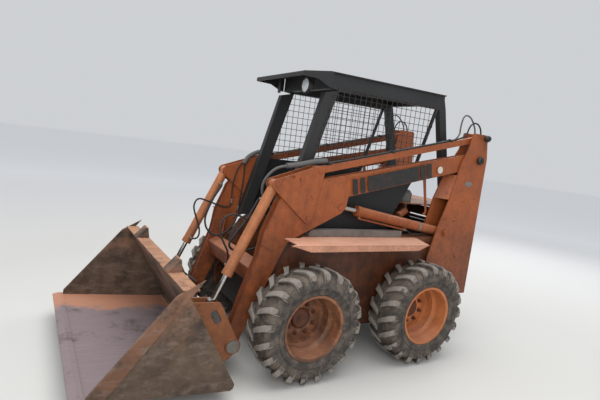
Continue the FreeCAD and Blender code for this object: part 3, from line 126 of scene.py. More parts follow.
def finish_piece(mesh, name, body, finish, smooth=None):
    """Turn a bmesh into a piece that rides on a body."""
    bmesh.ops.remove_doubles(mesh, verts=mesh.verts, dist=1e-5)
    bmesh.ops.recalc_face_normals(mesh, faces=mesh.faces)
    data = bpy.data.meshes.new(name)
    mesh.to_mesh(data)
    mesh.free()
    piece = coated(data, name, finish, smooth)
    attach(piece, body)
    return piece


def lathe(mesh, profile, centre, axis, steps):
    """Spin a profile of (along the axis, radius) round it."""
    axis = Vector(axis).normalized()
    side = axis.orthogonal().normalized()
    verts = [mesh.verts.new(Vector(centre) + axis * along + side * radius) for along, radius in profile]
    edges = [mesh.edges.new(pair) for pair in zip(verts, verts[1:])]
    bmesh.ops.spin(mesh, geom=verts + edges, cent=Vector(centre), axis=axis, angle=math.tau, steps=steps,
                   use_merge=True)


def bar(mesh, start, end, radius, sides=16):
    """A round bar between two points."""
    start, end = Vector(start), Vector(end)
    turn = (end - start).to_track_quat("Z", "Y").to_matrix().to_4x4()
    at = Matrix.Translation((start + end) / 2) @ turn
    bmesh.ops.create_cone(mesh, cap_ends=True, segments=sides, radius1=radius, radius2=radius,
                          depth=(end - start).length, matrix=at)


def block(mesh, low, high):
    """A box between two corners, as its points."""
    low, high = Vector(low), Vector(high)
    span = high - low
    at = Matrix.Translation((low + high) / 2) @ Matrix.Diagonal((span.x, span.y, span.z, 1))
    return bmesh.ops.create_cube(mesh, size=1, matrix=at)["verts"]


def prism(mesh, outline, low, high):
    """A plate with an outline of (x, z), between two depths along Y."""
    face = mesh.faces.new([mesh.verts.new((x, low, z)) for x, z in outline])
    grown = bmesh.ops.extrude_face_region(mesh, geom=[face])["geom"]
    moved = [part for part in grown if isinstance(part, bmesh.types.BMVert)]
    bmesh.ops.translate(mesh, vec=(0, high - low, 0), verts=moved)


def bolt(mesh, at, axis, radius, height):
    """A hexagon head on a washer, its foot at a point."""
    at, axis = Vector(at), Vector(axis).normalized()
    bar(mesh, at, at + axis * height * 0.25, radius * 1.5, 18)
    bar(mesh, at + axis * height * 0.2, at + axis * height, radius, 6)


# Materials

def linear(code, alpha=1):
    """An sRGB hex colour as the linear values that the shaders take."""
    values = [int(code[i:i + 2], 16) / 255 for i in (1, 3, 5)]
    return [v / 12.92 if v <= 0.04045 else ((v + 0.055) / 1.055) ** 2.4 for v in values] + [alpha]


def feed(node, inputs):
    """Fill a node's inputs, by name or in order: from sockets, from nodes' first live output, or with values,
    colours as sRGB hex."""
    for name, value in inputs.items() if isinstance(inputs, dict) else enumerate(inputs):
        if isinstance(value, bpy.types.Node):
            value = next(socket for socket in value.outputs if socket.enabled)
        if isinstance(value, bpy.types.NodeSocket):
            node.id_data.links.new(value, node.inputs[name])
        else:
            node.inputs[name].default_value = linear(value) if isinstance(value, str) else value


# Settings that every node of a kind has here.
USUAL = {"Mix": {"data_type": "RGBA"}}


def put(tree, kind, inputs=None, **values):
    """Add a shader node, with its settings and what its inputs hold or are linked to."""
    made = tree.nodes.new("ShaderNode" + kind)
    for name, value in {**USUAL.get(kind, {}), **values}.items():
        setattr(made, name, value)
    feed(made, inputs or {})
    return made


def new_material(name):
    """An empty material: itself, what adds its nodes, its surface shader and its Object coordinates."""
    material = bpy.data.materials.new(name)
    material.use_nodes = True
    node = functools.partial(put, material.node_tree)
    return material, node, material.node_tree.nodes["Principled BSDF"], node("TexCoord").outputs["Object"]


def coat_of_paint(name, top, deep, worn, dirt, grime="#2A1C14", rust="#5A2A16", chalk_and_highlight="#B98468", low=0.25, high=1.2):
    """Sprayed steel after years outdoors: enamel bleached in broad clouds, chalky and lightened by a painted
    highlight where it faces the sky, rust where stones and tools broke through it, rain streaks and splashed soil
    that thins out with height."""
    material, node, surface, coords = new_material(name)
    clouds = node("TexNoise", {"Vector": coords, "Scale": 3.2, "Detail": 7, "Roughness": 0.62})
    base = node("Mix", {0: clouds, 6: deep, 7: top})
    speckle = node("TexNoise", {"Vector": coords, "Scale": 95, "Detail": 4, "Roughness": 0.7})
    speckle_range = node("MapRange", (speckle, 0.3, 0.7, 0.82, 1.12))
    mottled = node("Mix", {0: 1, 6: base, 7: speckle_range}, blend_type="MULTIPLY")
    streak_at = node("Mapping", {"Vector": coords, "Scale": (26, 26, 1.6)})
    streak = node("TexNoise", {"Vector": streak_at, "Scale": 1, "Detail": 5})
    streak_share = node("MapRange", (streak, 0.5, 0.78, 0, 0.45 * dirt))
    streaked = node("Mix", {0: streak_share, 6: mottled, 7: grime})
    height = node("SeparateXYZ", {"Vector": coords})
    splash_noise = node("TexNoise", {"Vector": coords, "Scale": 11, "Detail": 8, "Roughness": 0.7})
    splash_low = node("MapRange", (height.outputs["Z"], low, high, 0.6, 0.31))
    splash = node("Math", (splash_noise, splash_low), operation="MULTIPLY")
    splash_share = node("MapRange", (splash, 0.135, 0.3, 0, dirt))
    splashed = node("Mix", {0: splash_share, 6: streaked, 7: grime})
    # Faces turned to the sky take the chalk colour: partly chalked enamel, partly a painted highlight.
    facing = node("SeparateXYZ", {"Vector": node("TexCoord").outputs["Normal"]})
    skyward_highlight = node("MapRange", (facing.outputs["Z"], 0.45, 0.95))
    chalk_highlight_share = node("Math", (skyward_highlight, clouds), operation="MULTIPLY")
    chalky = node("Mix", {0: chalk_highlight_share, 6: splashed, 7: chalk_and_highlight})
    patch = node("TexNoise", {"Vector": coords, "Scale": 13, "Detail": 12, "Roughness": 0.68, "Distortion": 0.4})
    soft = node("Bevel", {"Radius": 0.007}, samples=4)
    hard = node("NewGeometry")
    edge = node("VectorMath", (soft, hard.outputs["Normal"]), operation="DOT_PRODUCT")
    edge_share = node("MapRange", (edge, 0.97, 0.8, 0, 0.2))
    patch_sum = node("Math", (patch, edge_share), operation="ADD")
    start = 0.72 - 0.1 * worn
    rust_share = node("MapRange", (patch_sum, start, start + 0.05, 0, 0.85))
    rusty = node("Mix", {0: rust_share, 6: chalky, 7: rust})
    rough = node("MapRange", (rust_share, 0, 0.8, 0.55, 0.9))
    dents = node("TexNoise", {"Vector": coords, "Scale": 7, "Detail": 2})
    dent_bump = node("Bump", {"Height": dents, "Strength": 0.25, "Distance": 0.01})
    grain_bump = node("Bump", {"Height": rust_share, "Strength": 0.5, "Distance": -0.0006, "Normal": dent_bump})
    feed(surface, {"Base Color": rusty, "Roughness": rough, "Normal": grain_bump, "Metallic": 0, "IOR": 1.5})
    return material


def muddy_rubber():
    """Moulded tyre rubber: grey-black, chalky with dried soil that stays between the lugs and on the shoulders."""
    material, node, surface, coords = new_material("Tyre rubber")
    wear = node("Attribute", attribute_name="wear").outputs["Fac"]
    clumps = node("TexNoise", {"Vector": coords, "Scale": 16, "Detail": 9, "Roughness": 0.65})
    fine = node("TexNoise", {"Vector": coords, "Scale": 120, "Detail": 5})
    rubber = node("Mix", {0: fine, 6: "#211F1E", 7: "#48423E"})
    root = node("MapRange", (wear, 0, 1, 0.16, -0.04))
    soil_sum = node("Math", (clumps, root), operation="ADD")
    soil_share = node("MapRange", (soil_sum, 0.47, 0.72, 0, 0.85))
    soil = node("Mix", {0: fine, 6: "#43352B", 7: "#8A7D70"})
    top = node("MapRange", (wear, 0.68, 0.95, 0, 1.1))
    top_share = node("Math", (top, clumps), operation="MULTIPLY")
    rubber = node("Mix", {0: top_share, 6: rubber, 7: "#A39A91"})
    colour = node("Mix", {0: soil_share, 6: rubber, 7: soil})
    bump = node("Bump", {"Height": clumps, "Strength": 0.35, "Distance": 0.006})
    fine_bump = node("Bump", {"Height": fine, "Strength": 0.4, "Distance": 0.001, "Normal": bump})
    feed(surface, {"Base Color": colour, "Normal": fine_bump, "Roughness": 0.88, "IOR": 1.52})
    return material


def band(node, value, low, high, soft=0.004):
    """A mask that is one between two values and fades out past them."""
    rise = node("MapRange", (value, low - soft, low + soft))
    fall = node("MapRange", (value, high - soft, high + soft, 1, 0))
    return node("Math", (rise, fall), operation="MULTIPLY")


def worn_bucket_steel():
    """Hot-rolled plate scoured by soil: brown oxide on the cheeks, a floor rubbed to a dull purple grey with long
    scratches, and old orange paint on the top ledge, the edge strips and one end of the floor."""
    material, node, surface, coords = new_material("Bucket steel")
    place = node("SeparateXYZ", {"Vector": coords})
    facing = node("SeparateXYZ", {"Vector": node("TexCoord").outputs["Normal"]})
    clouds = node("TexNoise", {"Vector": coords, "Scale": 5, "Detail": 12, "Roughness": 0.68})
    blotch = node("MapRange", (clouds, 0.34, 0.66))
    colour = node("Mix", {0: blotch, 6: "#33271F", 7: "#695545"})
    aside = node("Math", (place.outputs["Y"],), operation="ABSOLUTE")
    level = band(node, facing.outputs["Z"], 0.9, 1.1, 0.05)
    low = band(node, place.outputs["Z"], -1, 0.24, 0.03)
    end = node("MapRange", (place.outputs["Y"], -0.25, -0.75, -0.25, 0.45))
    end_noise = node("Math", (clouds, end), operation="ADD")
    for mask, noise, lowest, amount, tone in (
        ((level, low), clouds, 0.3, 0.9, "#86777A"),
        ((level, low), end_noise, 0.56, 0.85, "#BD8262"),
        ((level, band(node, place.outputs["Z"], 0.69, 2)), clouds, 0.36, 0.9, "#C8936F"),
        ((band(node, aside, 0.8035, 2, 0.0006), 1), clouds, 0.4, 0.8, "#704A35"),
        ((band(node, place.outputs["Z"], 0.46, 2, 0.1), 1), clouds, 0.44, 0.8, "#87604A"),
    ):
        worn = node("MapRange", (noise, lowest, lowest + 0.16, 0, amount))
        both = node("Math", mask, operation="MULTIPLY")
        share = node("Math", (both, worn), operation="MULTIPLY")
        colour = node("Mix", {0: share, 6: colour, 7: tone})
    scour_at = node("Mapping", {"Vector": coords, "Scale": (9, 70, 22), "Rotation": (0, 0, 0.3)})
    scour = node("TexNoise", {"Vector": scour_at, "Scale": 1, "Detail": 9, "Roughness": 0.7})
    scour_share = node("MapRange", (scour, 0.5, 0.8, 0, 0.35))
    scoured = node("Mix", {0: scour_share, 6: colour, 7: "#A3958C"})
    bump = node("Bump", {"Height": clouds, "Strength": 0.4, "Distance": 0.004})
    scour_bump = node("Bump", {"Height": scour, "Strength": 0.3, "Distance": 0.001, "Normal": bump})
    rough = node("MapRange", (scour_share, 0, 0.35, 0.72, 0.5))
    feed(surface, {"Base Color": scoured, "Roughness": rough, "Normal": scour_bump, "Metallic": 0.15})
    return material


def plain_finish(name, colour, rough, fleck, grain, share=0.25, bump=0.15, metal=0):
    """A surface of one make with fine unevenness of the given grain per metre."""
    material, node, surface, coords = new_material(name)
    texture = node("TexNoise", {"Vector": coords, "Scale": grain, "Detail": 8, "Roughness": 0.65})
    amount = node("MapRange", (texture, 0.45, 0.75, 0, share))
    mixed = node("Mix", {0: amount, 6: colour, 7: fleck})
    rougher = node("MapRange", (texture, 0.3, 0.7, rough * 0.85, min(1, rough * 1.15)))
    relief = node("Bump", {"Height": texture, "Strength": bump, "Distance": 0.001})
    feed(surface, {"Base Color": mixed, "Roughness": rougher, "Normal": relief, "Metallic": metal})
    return material


materials = {}


def make_materials():
    """Every finish of the machine, by a maker's plain name."""
    look = settings()
    materials.update({
        "arm paint": coat_of_paint("Arm enamel", look.orange, look.orange_deep, 1, 0.62),
        # A darker copy of the orange enamel with soil splashed higher: partly dirt, partly painted shade where the
        # frame lies in shadow under the step.
        "shaded frame paint": coat_of_paint("Frame enamel with painted shade", "#8C4E2B", "#5A2E18", 0.8, 0.75, high=1.5),
        "rim front": coat_of_paint("Front rim enamel", "#B9805A", "#8F5231", 0.6, 0.8, low=0.1, high=0.9),
        "rim rear": coat_of_paint("Rear rim enamel", "#DE9058", "#B9632F", 0.4, 0.4, low=0.1, high=0.9),
        "hub paint": coat_of_paint("Hub enamel", "#8A4C2C", "#5C2E1A", 0.5, 0.7, low=0.1, high=0.9),
        "step paint": coat_of_paint("Step enamel", "#DCA283", "#B0745A", 0.9, 0.4, chalk_and_highlight="#DCAB92"),
        "cylinder paint": coat_of_paint("Cylinder enamel", "#C27B4C", "#96552E", 0.8, 0.4),
        "black paint": coat_of_paint("Black enamel", "#2A2B2C", "#161617", 0.25, 0.3, "#3A3430", "#4A3226",
                                     "#4A4845"),
        # Black enamel made darker than the black paint: painted shade on the side panels, belly pan and cab floor.
        "shaded cab black": coat_of_paint("Cab black enamel with painted shade", "#121317", "#08090B", 0.3, 0.3, "#1E1B19", "#2C2019",
                                   "#2A2927"),
        "grey paint": coat_of_paint("Grey enamel", "#8E8782", "#5E5854", 0.5, 0.5, chalk_and_highlight="#A39C97"),
        "bucket steel": worn_bucket_steel(),
        "tyre": muddy_rubber(),
        # Hard chrome ground smooth: near mirror, with fine scratches from seals.
        "chrome": plain_finish("Hard chrome", "#B9B6B2", 0.22, "#6E655E", 180, bump=0.05, metal=1),
        # Zinc-plated steel gone dull.
        "zinc": plain_finish("Dull zinc", "#8C8882", 0.5, "#4A3526", 140, 0.5, metal=0.7),
        # Extruded hose rubber, matt black with grey dust.
        "hose": plain_finish("Hose rubber", "#1B1B1C", 0.65, "#4B4743", 90, 0.4),
        # Embossed seat vinyl.
        "vinyl": plain_finish("Embossed vinyl", "#1A1A1B", 0.5, "#3A3835", 240, 0.4, 0.35),
        # Woven nylon sleeve gone grey in the sun.
        "sleeve": plain_finish("Faded nylon sleeve", "#4F4E4D", 0.7, "#7A756F", 160, 0.6, 0.3),
        # Cast black vinyl, chalked and scuffed through in places.
        "stripe vinyl": plain_finish("Chalked black vinyl", "#1B1B1B", 0.5, "#5A4034", 34, 0.35),
        # White reflective sheet, grey with dust.
        "reflector": plain_finish("Reflective sheet", "#CBC6BD", 0.4, "#8F857A", 70, 0.5),
        # Pressed lens glass, its pale grey a painted reflection of the silvered bowl behind it.
        "lamp glass": plain_finish("Lamp glass with painted reflection", "#C3C9CD", 0.12, "#8A9196", 110, 0.6, 0.5),
        # Cast iron under oil and dust.
        "iron": plain_finish("Oily cast iron", "#2B2723", 0.6, "#574436", 45, 0.6, metal=0.3),
    })


# Stage

EYE = Vector((1.795, 3.036, 1.526))
EYE_TURN, EYE_DIP, EYE_ROLL = 4.165, 0.12, 0.125
FOCAL_PIXELS, PHOTO_WIDTH = 456.79, 600
CENTRE_OFF = (1.23, 2.11)


class LOADER_OT_stage(bpy.types.Operator):
    """Pale floor, soft daylight and the camera of the photograph"""
    bl_idname = "loader.stage"
    bl_label = "Stage"

    def execute(self, context):
        self.add_camera(context)
        self.add_floor(context)
        self.add_light(context)
        context.scene.view_settings.view_transform = "Standard"
        return {"FINISHED"}

    def add_camera(self, context):
        lens = bpy.data.cameras.new("Camera")
        camera = add_object("Camera", lens)
        ahead = Vector((math.cos(EYE_TURN) * math.cos(EYE_DIP), math.sin(EYE_TURN) * math.cos(EYE_DIP),
                        -math.sin(EYE_DIP)))
        level = Vector((math.sin(EYE_TURN), -math.cos(EYE_TURN), 0))
        over = level.cross(ahead)
        right = level * math.cos(EYE_ROLL) + over * math.sin(EYE_ROLL)
        above = over * math.cos(EYE_ROLL) - level * math.sin(EYE_ROLL)
        turn = Matrix((right, above, -ahead)).transposed().to_4x4()
        camera.matrix_world = Matrix.Translation(EYE) @ turn
        lens.sensor_width = 36
        lens.lens = FOCAL_PIXELS * lens.sensor_width / PHOTO_WIDTH
        lens.shift_x = CENTRE_OFF[0] / PHOTO_WIDTH
        lens.shift_y = CENTRE_OFF[1] / PHOTO_WIDTH
        context.scene.camera = camera

    def add_floor(self, context):
        """A floor that pales with distance, so that it runs into the sky: the paler colour far off is painted light,
        standing in for lamp light that does not reach so far.
        """
        mesh = bmesh.new()
        bmesh.ops.create_grid(mesh, x_segments=1, y_segments=1, size=60)
        data = bpy.data.meshes.new("Floor")
        mesh.to_mesh(data)
        mesh.free()
        floor = add_object("Floor", data)
        material, node, surface, coords = new_material("Pale floor")
        far = node("VectorMath", (coords,), operation="LENGTH")
        painted_far_light = node("MapRange", (far, 3, 11))
        tone = node("Mix", {0: painted_far_light, 6: "#C9C8C4", 7: "#F6F7F9"})
        feed(surface, {"Base Color": tone, "Roughness": 0.9})
        data.materials.append(material)

    def add_light(self, context):
        world = bpy.data.worlds.new("Studio")
        world.use_nodes = True
        context.scene.world = world
        back = world.node_tree.nodes["Background"]
        back.inputs["Color"].default_value = linear("#E9ECF0")
        back.inputs["Strength"].default_value = 0.75
        for name, at, size, watts in (
            ("Sky", (0.5, 0.5, 6.5), 7.0, 330), ("Left", (3.5, 5.5, 3.5), 4.0, 170),
            ("Rear", (-6.0, -2.0, 4.5), 4.0, 120),
        ):
            light = bpy.data.lights.new(name, "AREA")
            light.energy = watts
            light.shape = "DISK"
            light.size = size
            lamp = add_object(name, light)
            lamp.location = at
            lamp.rotation_mode = "QUATERNION"
            lamp.rotation_quaternion = (Vector((-0.2, 0, 0.6)) - Vector(at)).to_track_quat("-Z", "Y")


# Paint on the frame's own pieces

# A name that ends in an underscore stands for the left and the right piece.
PAINTED = {
    "arm paint": "lift_arm_ arm_cross_member bell_crank_ levelling_link_ tower_ lift_barrel_",
    "cylinder paint": "bucket_coupler tilt_barrel_",
    "shaded frame paint": "chain_housings rear_frame engine_hood rear_door axle_housings",
    "step paint": "steps",
    "grey paint": "sills",
    "black paint": "rops_frame rops_roof side_screens work_lamp control_levers",
    "shaded cab black": "side_panels belly_pan cab_floor",
    "bucket steel": "bucket_shell cutting_edge",
    "zinc": "bucket_pins",
    "chrome": "lift_rod_ tilt_rod_",
    "iron": "engine_block",
    "vinyl": "seat_cushion seat_back",
}


class LOADER_OT_paint_frame(bpy.types.Operator):
    """Give every CAD piece its finish"""
    bl_idname = "loader.paint_frame"
    bl_label = "Paint the frame"

    def execute(self, context):
        for finish, names in PAINTED.items():
            for name in names.split():
                for node in [name + side for side in SIDES] if name.endswith("_") else [name]:
                    coat(nodes[node].data, finish)
        return {"FINISHED"}


# Wheels

def onto_wheel(mesh, wheel):
    """Move a left wheel's mesh from the middle of the scene to its axle, rolled as in the photograph."""
    end, side = wheel
    bmesh.ops.scale(mesh, vec=(1, SIDES[side], 1), verts=mesh.verts)
    bmesh.ops.rotate(mesh, verts=mesh.verts, cent=(0, 0, 0), matrix=Matrix.Rotation(WHEEL_TURN[end], 3, "Y"))
    bmesh.ops.translate(mesh, vec=AXLE[wheel], verts=mesh.verts)


class LOADER_OT_tyres(bpy.types.Operator):
    """Four tyres with two staggered rows of slanted lugs"""
    bl_idname = "loader.tyres"
    bl_label = "Tyres"

    def execute(self, context):
        lug = self.lug_mesh()
        for wheel in WHEELS:
            self.add_tyre(wheel, lug)
        bpy.data.meshes.remove(lug)
        return {"FINISHED"}

    def skin_profile(self):
        """Half a tyre's section from the crown to the bead, as (y, radius)."""
        tread = TYRE_RADIUS - LUG_DEPTH
        crown = ((0, 0), (0.045, 0.001), (0.08, 0.005), (0.104, 0.014))
        wall = (
            (0.014, 0.03), (0.005, 0.052), (0.001, 0.074), (0, 0.09), (0.001, 0.0905), (0.005, 0.093), (0.005, 0.096),
            (0.001, 0.0985), (0.005, 0.114), (0.012, 0.132), (0.014, 0.136), (0.018, 0.138), (0.024, 0.142),
        )
        return ([(y, tread - drop) for y, drop in crown] + [(TYRE_HALF - y, tread - drop) for y, drop in wall]
                + [(TYRE_HALF - 0.03, BEAD_RADIUS)])

    def add_tyre(self, wheel, lug):
        mesh = bmesh.new()
        wear = mesh.verts.layers.float.new("wear")
        half = self.skin_profile()
        profile = [(-y, radius) for y, radius in reversed(half[1:])] + half
        lathe(mesh, profile, (0, 0, 0), ACROSS, 120)
        for vert in mesh.verts:
            vert[wear] = 0.2 if math.hypot(vert.co.x, vert.co.z) > TYRE_RADIUS - 0.075 else 0.6
        count = settings().lug_count
        for row, shift in ((1, 0.0), (-1, 0.5)):
            for i in range(count):
                known = len(mesh.verts)
                mesh.from_mesh(lug)
                mesh.verts.ensure_lookup_table()
                made = mesh.verts[known:]
                bmesh.ops.scale(mesh, vec=(1, row, 1), verts=made)
                turn = Matrix.Rotation(math.tau * (i + shift) / count, 3, "Y")
                bmesh.ops.rotate(mesh, cent=(0, 0, 0), matrix=turn, verts=made)
        onto_wheel(mesh, wheel)
        name = "tyre_%s_%s" % wheel
        piece = finish_piece(mesh, "lugged_" + name, "wheel_%s_%s" % wheel, "tyre", smooth=38)
        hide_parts(name)

    def lug_mesh(self):
        """One lug on top of a tyre, from near the middle over the shoulder of its left side."""
        look = settings()
        mesh = bmesh.new()
        wear = mesh.verts.layers.float.new("wear")
        bmesh.ops.create_cube(mesh, size=1)
        lengthways = [e for e in mesh.edges if abs((e.verts[0].co - e.verts[1].co).y) > 0.5]
        bmesh.ops.subdivide_edges(mesh, edges=lengthways, cuts=9, use_grid_fill=True)
        tread = TYRE_RADIUS - LUG_DEPTH
        for vert in mesh.verts:
            side, share, rise = vert.co.x, vert.co.y + 0.5, vert.co.z + 0.5
            flat = min(share * 1.25, 1.0)
            over = max(share * 1.25 - 1.0, 0) / 0.25
            y = 0.006 + flat * (TYRE_HALF - 0.012) + 0.004 * over * rise
            crown = tread - 0.012 - 0.02 * max(flat - 0.7, 0) / 0.3
            radius = crown + rise * (LUG_DEPTH + 0.012) - over * (0.058 - 0.006 * rise)
            lean = (look.lug_sweep * flat ** 0.85 + 0.01 * over) / tread
            girth = look.lug_width * (0.8 + 0.26 * flat) * (1.0 - 0.14 * rise) * (1.0 - 0.12 * over)
            turn = side * girth / tread - lean
            vert.co = Vector((radius * math.sin(turn), y, radius * math.cos(turn)))
            vert[wear] = 0.1 + 0.9 * rise * (1 - 0.5 * over)
        sharp = [e for e in mesh.edges if e.calc_face_angle(0) > 0.6]
        bmesh.ops.bevel(mesh, geom=sharp, offset=0.0035, segments=2, profile=0.5, affect="EDGES", material=-1)
        for vert in mesh.verts:
            reach = math.hypot(vert.co.x, vert.co.z)
            if reach > TYRE_RADIUS:
                vert.co.x, vert.co.z = vert.co.x * TYRE_RADIUS / reach, vert.co.z * TYRE_RADIUS / reach
        data = bpy.data.meshes.new("Lug")
        mesh.to_mesh(data)
        mesh.free()
        return data


class LOADER_OT_rims(bpy.types.Operator):
    """Four deep-dished rims with hub caps, nuts and a valve"""
    bl_idname = "loader.rims"
    bl_label = "Rims"

    def execute(self, context):
        for wheel in WHEELS:
            self.add_rim(wheel)
            self.add_hub(wheel)
        return {"FINISHED"}

    def add_rim(self, wheel):
        lip, seat, wall = RIM_RADIUS, BEAD_RADIUS - 0.0003, 0.008
        half, disc = RIM_HALF, DISC_OUT
        profile = [
            (-half, lip), (-half + 0.007, lip), (-half + 0.012, seat), (disc - 0.02, seat),
            (disc - 0.002, seat - 0.022), (-0.01, seat - 0.022), (0.015, seat), (half - 0.014, seat),
            (half - 0.01, seat + 0.003), (half - 0.0075, lip - 0.003), (half - 0.005, lip), (half - 0.001, lip),
            (half, lip - 0.003), (half - 0.001, lip - wall), (half - 0.006, seat - wall),
            (half - 0.012, seat - wall - 0.002), (0.022, seat - wall - 0.002), (0.016, seat - wall - 0.004),
            (-0.004, seat - 0.022 - wall), (disc + 0.012, seat - 0.022 - wall), (disc + 0.003, seat - 0.036),
            (disc, seat - 0.048), (disc, 0.15), (disc + 0.005, 0.14), (disc + 0.006, 0.124), (disc + 0.006, 0.086),
            (disc + 0.004, 0.078), (disc - 0.004, 0.0683),
            (disc - 0.012, 0.0683), (disc - 0.012, seat - 0.026), (disc - 0.024, seat - wall),
            (-half + 0.006, seat - wall), (-half, lip - wall), (-half, lip),
        ]
        mesh = bmesh.new()
        lathe(mesh, profile, (0, 0, 0), ACROSS, settings().rim_steps)
        self.place(mesh, wheel, "rim_shell_%s_%s", "rim " + wheel[0])

    def place(self, mesh, wheel, name, finish):
        onto_wheel(mesh, wheel)
        piece = finish_piece(mesh, name % wheel, "wheel_%s_%s" % wheel, finish, 35)
        if name.startswith("rim_shell"):
            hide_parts("rim_%s_%s" % wheel)

    def add_hub(self, wheel):
        cap, bolt_circle = 0.068, 0.1015
        mesh = bmesh.new()
        lathe(mesh, [(-0.24, 0), (-0.24, 0.032)] + [(DISC_OUT + along, radius) for along, radius in (
            (-0.026, 0.032), (-0.026, 0.125), (-0.012, 0.125), (-0.012, cap), (0.01, cap), (0.014, cap - 0.004),
            (0.019, cap - 0.01), (0.021, cap - 0.024), (0.017, cap - 0.032), (0.017, 0),
        )], (0, 0, 0), ACROSS, 64)
        self.place(mesh, wheel, "hub_%s_%s", "hub paint")
        nuts = bmesh.new()
        for i in range(8):
            turn = math.radians(22.5 + 45 * i)
            at = Vector((bolt_circle * math.cos(turn), DISC_OUT + 0.005, bolt_circle * math.sin(turn)))
            bar(nuts, at, at + ACROSS * 0.004, 0.017, 20)
            bar(nuts, at + ACROSS * 0.003, at + ACROSS * 0.017, 0.0125, 6)
            bar(nuts, at + ACROSS * 0.01, at + ACROSS * 0.028, 0.0075, 12)
        stem = Vector((0.0, -0.004, BEAD_RADIUS - 0.036))
        bar(nuts, stem, stem + Vector((0, 0.03, -0.01)), 0.005, 12)
        self.place(nuts, wheel, "wheel_nuts_%s_%s", "hub paint")


# Side screens

SCREEN_WIRE, SCREEN_DEPTH, SCREEN_PITCH = 0.0021, 0.004, 0.05
SCREEN_REAR, SCREEN_LOW = -1.056, 1.4123
SCREEN_OUTLINE = [(-0.892, 1.4003), (0.1027, 1.4003), (-0.04, 1.96), (-1.054, 1.976)]


def span_in(outline, axis, value):
    """Where a straight line enters and leaves a convex outline, or None."""
    crossings = []
    for start, end in zip(outline, outline[1:] + outline[:1]):
        before, after = start[axis] - value, end[axis] - value
        if before * after < 0:
            share = before / (before - after)
            crossings.append(start[1 - axis] + share * (end[1 - axis] - start[1 - axis]))
    return sorted(crossings) if len(crossings) == 2 else None


class LOADER_OT_screens(bpy.types.Operator):
    """Welded wire screens on both sides of the cab"""
    bl_idname = "loader.screens"
    bl_label = "Side screens"

    def execute(self, context):
        mesh = bmesh.new()
        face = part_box("side_screens")[1].y - SCREEN_DEPTH + SCREEN_WIRE
        for side in SIDES.values():
            for i in range(24):
                x = SCREEN_REAR + SCREEN_PITCH * i
                span = span_in(SCREEN_OUTLINE, 0, x)
                if span:
                    bar(mesh, (x, side * (face + 0.003), span[0]), (x, side * (face + 0.003), span[1]),
                        SCREEN_WIRE, 6)
            for i in range(12):
                z = SCREEN_LOW + SCREEN_PITCH * i
                span = span_in(SCREEN_OUTLINE, 1, z)
                if span:
                    self.add_level_wire(mesh, side * face, z, *span)
        piece = finish_piece(mesh, "wire_screens", "chassis", "black paint", 50)
        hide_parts("side_screens")
        return {"FINISHED"}

    def add_level_wire(self, mesh, y, z, rear, front):
        """A wire along the machine, its front end bent into a hook on the post."""
        bar(mesh, (rear, y, z), (front, y, z), SCREEN_WIRE, 6)
        hook = [(front, z), (front + 0.009, z - 0.006), (front + 0.01, z - 0.017), (front + 0.001, z - 0.024)]
        for start, end in zip(hook, hook[1:]):
            bar(mesh, (start[0], y, start[1]), (end[0], y, end[1]), SCREEN_WIRE, 6)


# Seat

class LOADER_OT_seat(bpy.types.Operator):
    """Foam cushion and back under sewn vinyl"""
    bl_idname = "loader.seat"
    bl_label = "Seat"

    def execute(self, context):
        self.add_pad("seat_cushion", "sewn_cushion", Vector((0, 0, 1)), (-0.33, 0.12))
        self.add_pad("seat_back", "sewn_backrest", Vector((1, 0, 0.1)), (1.13, 0.12))
        return {"FINISHED"}

    def add_pad(self, node, name, face, seam):
        """Blow up a shrunk copy of a pad like foam, then sew its channels into the face."""
        shrink, swell = 0.01, 0.016
        low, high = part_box(node)
        centre = (low + high) / 2
        mesh = bmesh.new()
        mesh.from_mesh(nodes[node].data)
        bmesh.ops.remove_doubles(mesh, verts=mesh.verts, dist=1e-4)
        for vert in mesh.verts:
            for axis in range(3):
                reach = max((high - low)[axis] / 2, 1e-6)
                vert.co[axis] = centre[axis] + (vert.co[axis] - centre[axis]) * (reach - shrink) / reach
        core = bpy.data.meshes.new(name + "_core")
        mesh.to_mesh(core)
        mesh.free()
        pad = add_object(name, core)
        remesh = pad.modifiers.new("Remesh", "REMESH")
        remesh.mode, remesh.voxel_size = "VOXEL", 0.008
        self.bake(pad)
        before = [vert.co.copy() for vert in pad.data.vertices]
        self.inflate(pad)
        for vert, start in zip(pad.data.vertices, before):
            moved = vert.co - start
            if moved.length > swell:
                vert.co = start + moved * (swell / moved.length)
            vert.co = Vector(min(max(c, a), b) for c, a, b in zip(vert.co, low, high))
        self.sew(pad, face.normalized(), seam, high.y - 0.055)
        smooth = pad.modifiers.new("Smooth", "SUBSURF")
        smooth.levels = smooth.render_levels = 1
        self.bake(pad)
        coat(pad.data, "vinyl")
        pad.data.shade_smooth()
        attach(pad, "chassis")
        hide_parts(node)

    def bake(self, pad):
        """Apply the pad's modifiers."""
        bpy.context.view_layer.update()
        solid = bpy.data.meshes.new_from_object(pad.evaluated_get(bpy.context.evaluated_depsgraph_get()))
        pad.modifiers.clear()
        pad.data = solid

    def inflate(self, pad):
        cloth = pad.modifiers.new("Cloth", "CLOTH")
        cloth.settings.use_pressure = True
        cloth.settings.uniform_pressure_force = 4
        cloth.settings.effector_weights.gravity = 0
        cloth.settings.quality = 5
        cloth.point_cache.frame_start, cloth.point_cache.frame_end = 1, 20
        for step in range(1, 21):
            bpy.context.scene.frame_set(step)
        self.bake(pad)
        bpy.context.scene.frame_set(1)

    def sew(self, pad, face, seam, side):
        """Press seam grooves into the side that one leans on: near its edges, along its middle and across it."""
        centre, border = seam
        pad.data.update()
        for vert in pad.data.vertices:
            if vert.normal.dot(face) < 0.5:
                continue
            along = vert.co.z if face.x > 0.5 else vert.co.x
            far = [abs(abs(vert.co.y) - side), abs(vert.co.y) * 4 + 0.006]
            far += [abs(along - centre - step) for step in (-border, 0, border)]
            vert.co -= face * (0.007 * math.exp(-(min(far) / 0.008) ** 2))


# Hoses and tubes

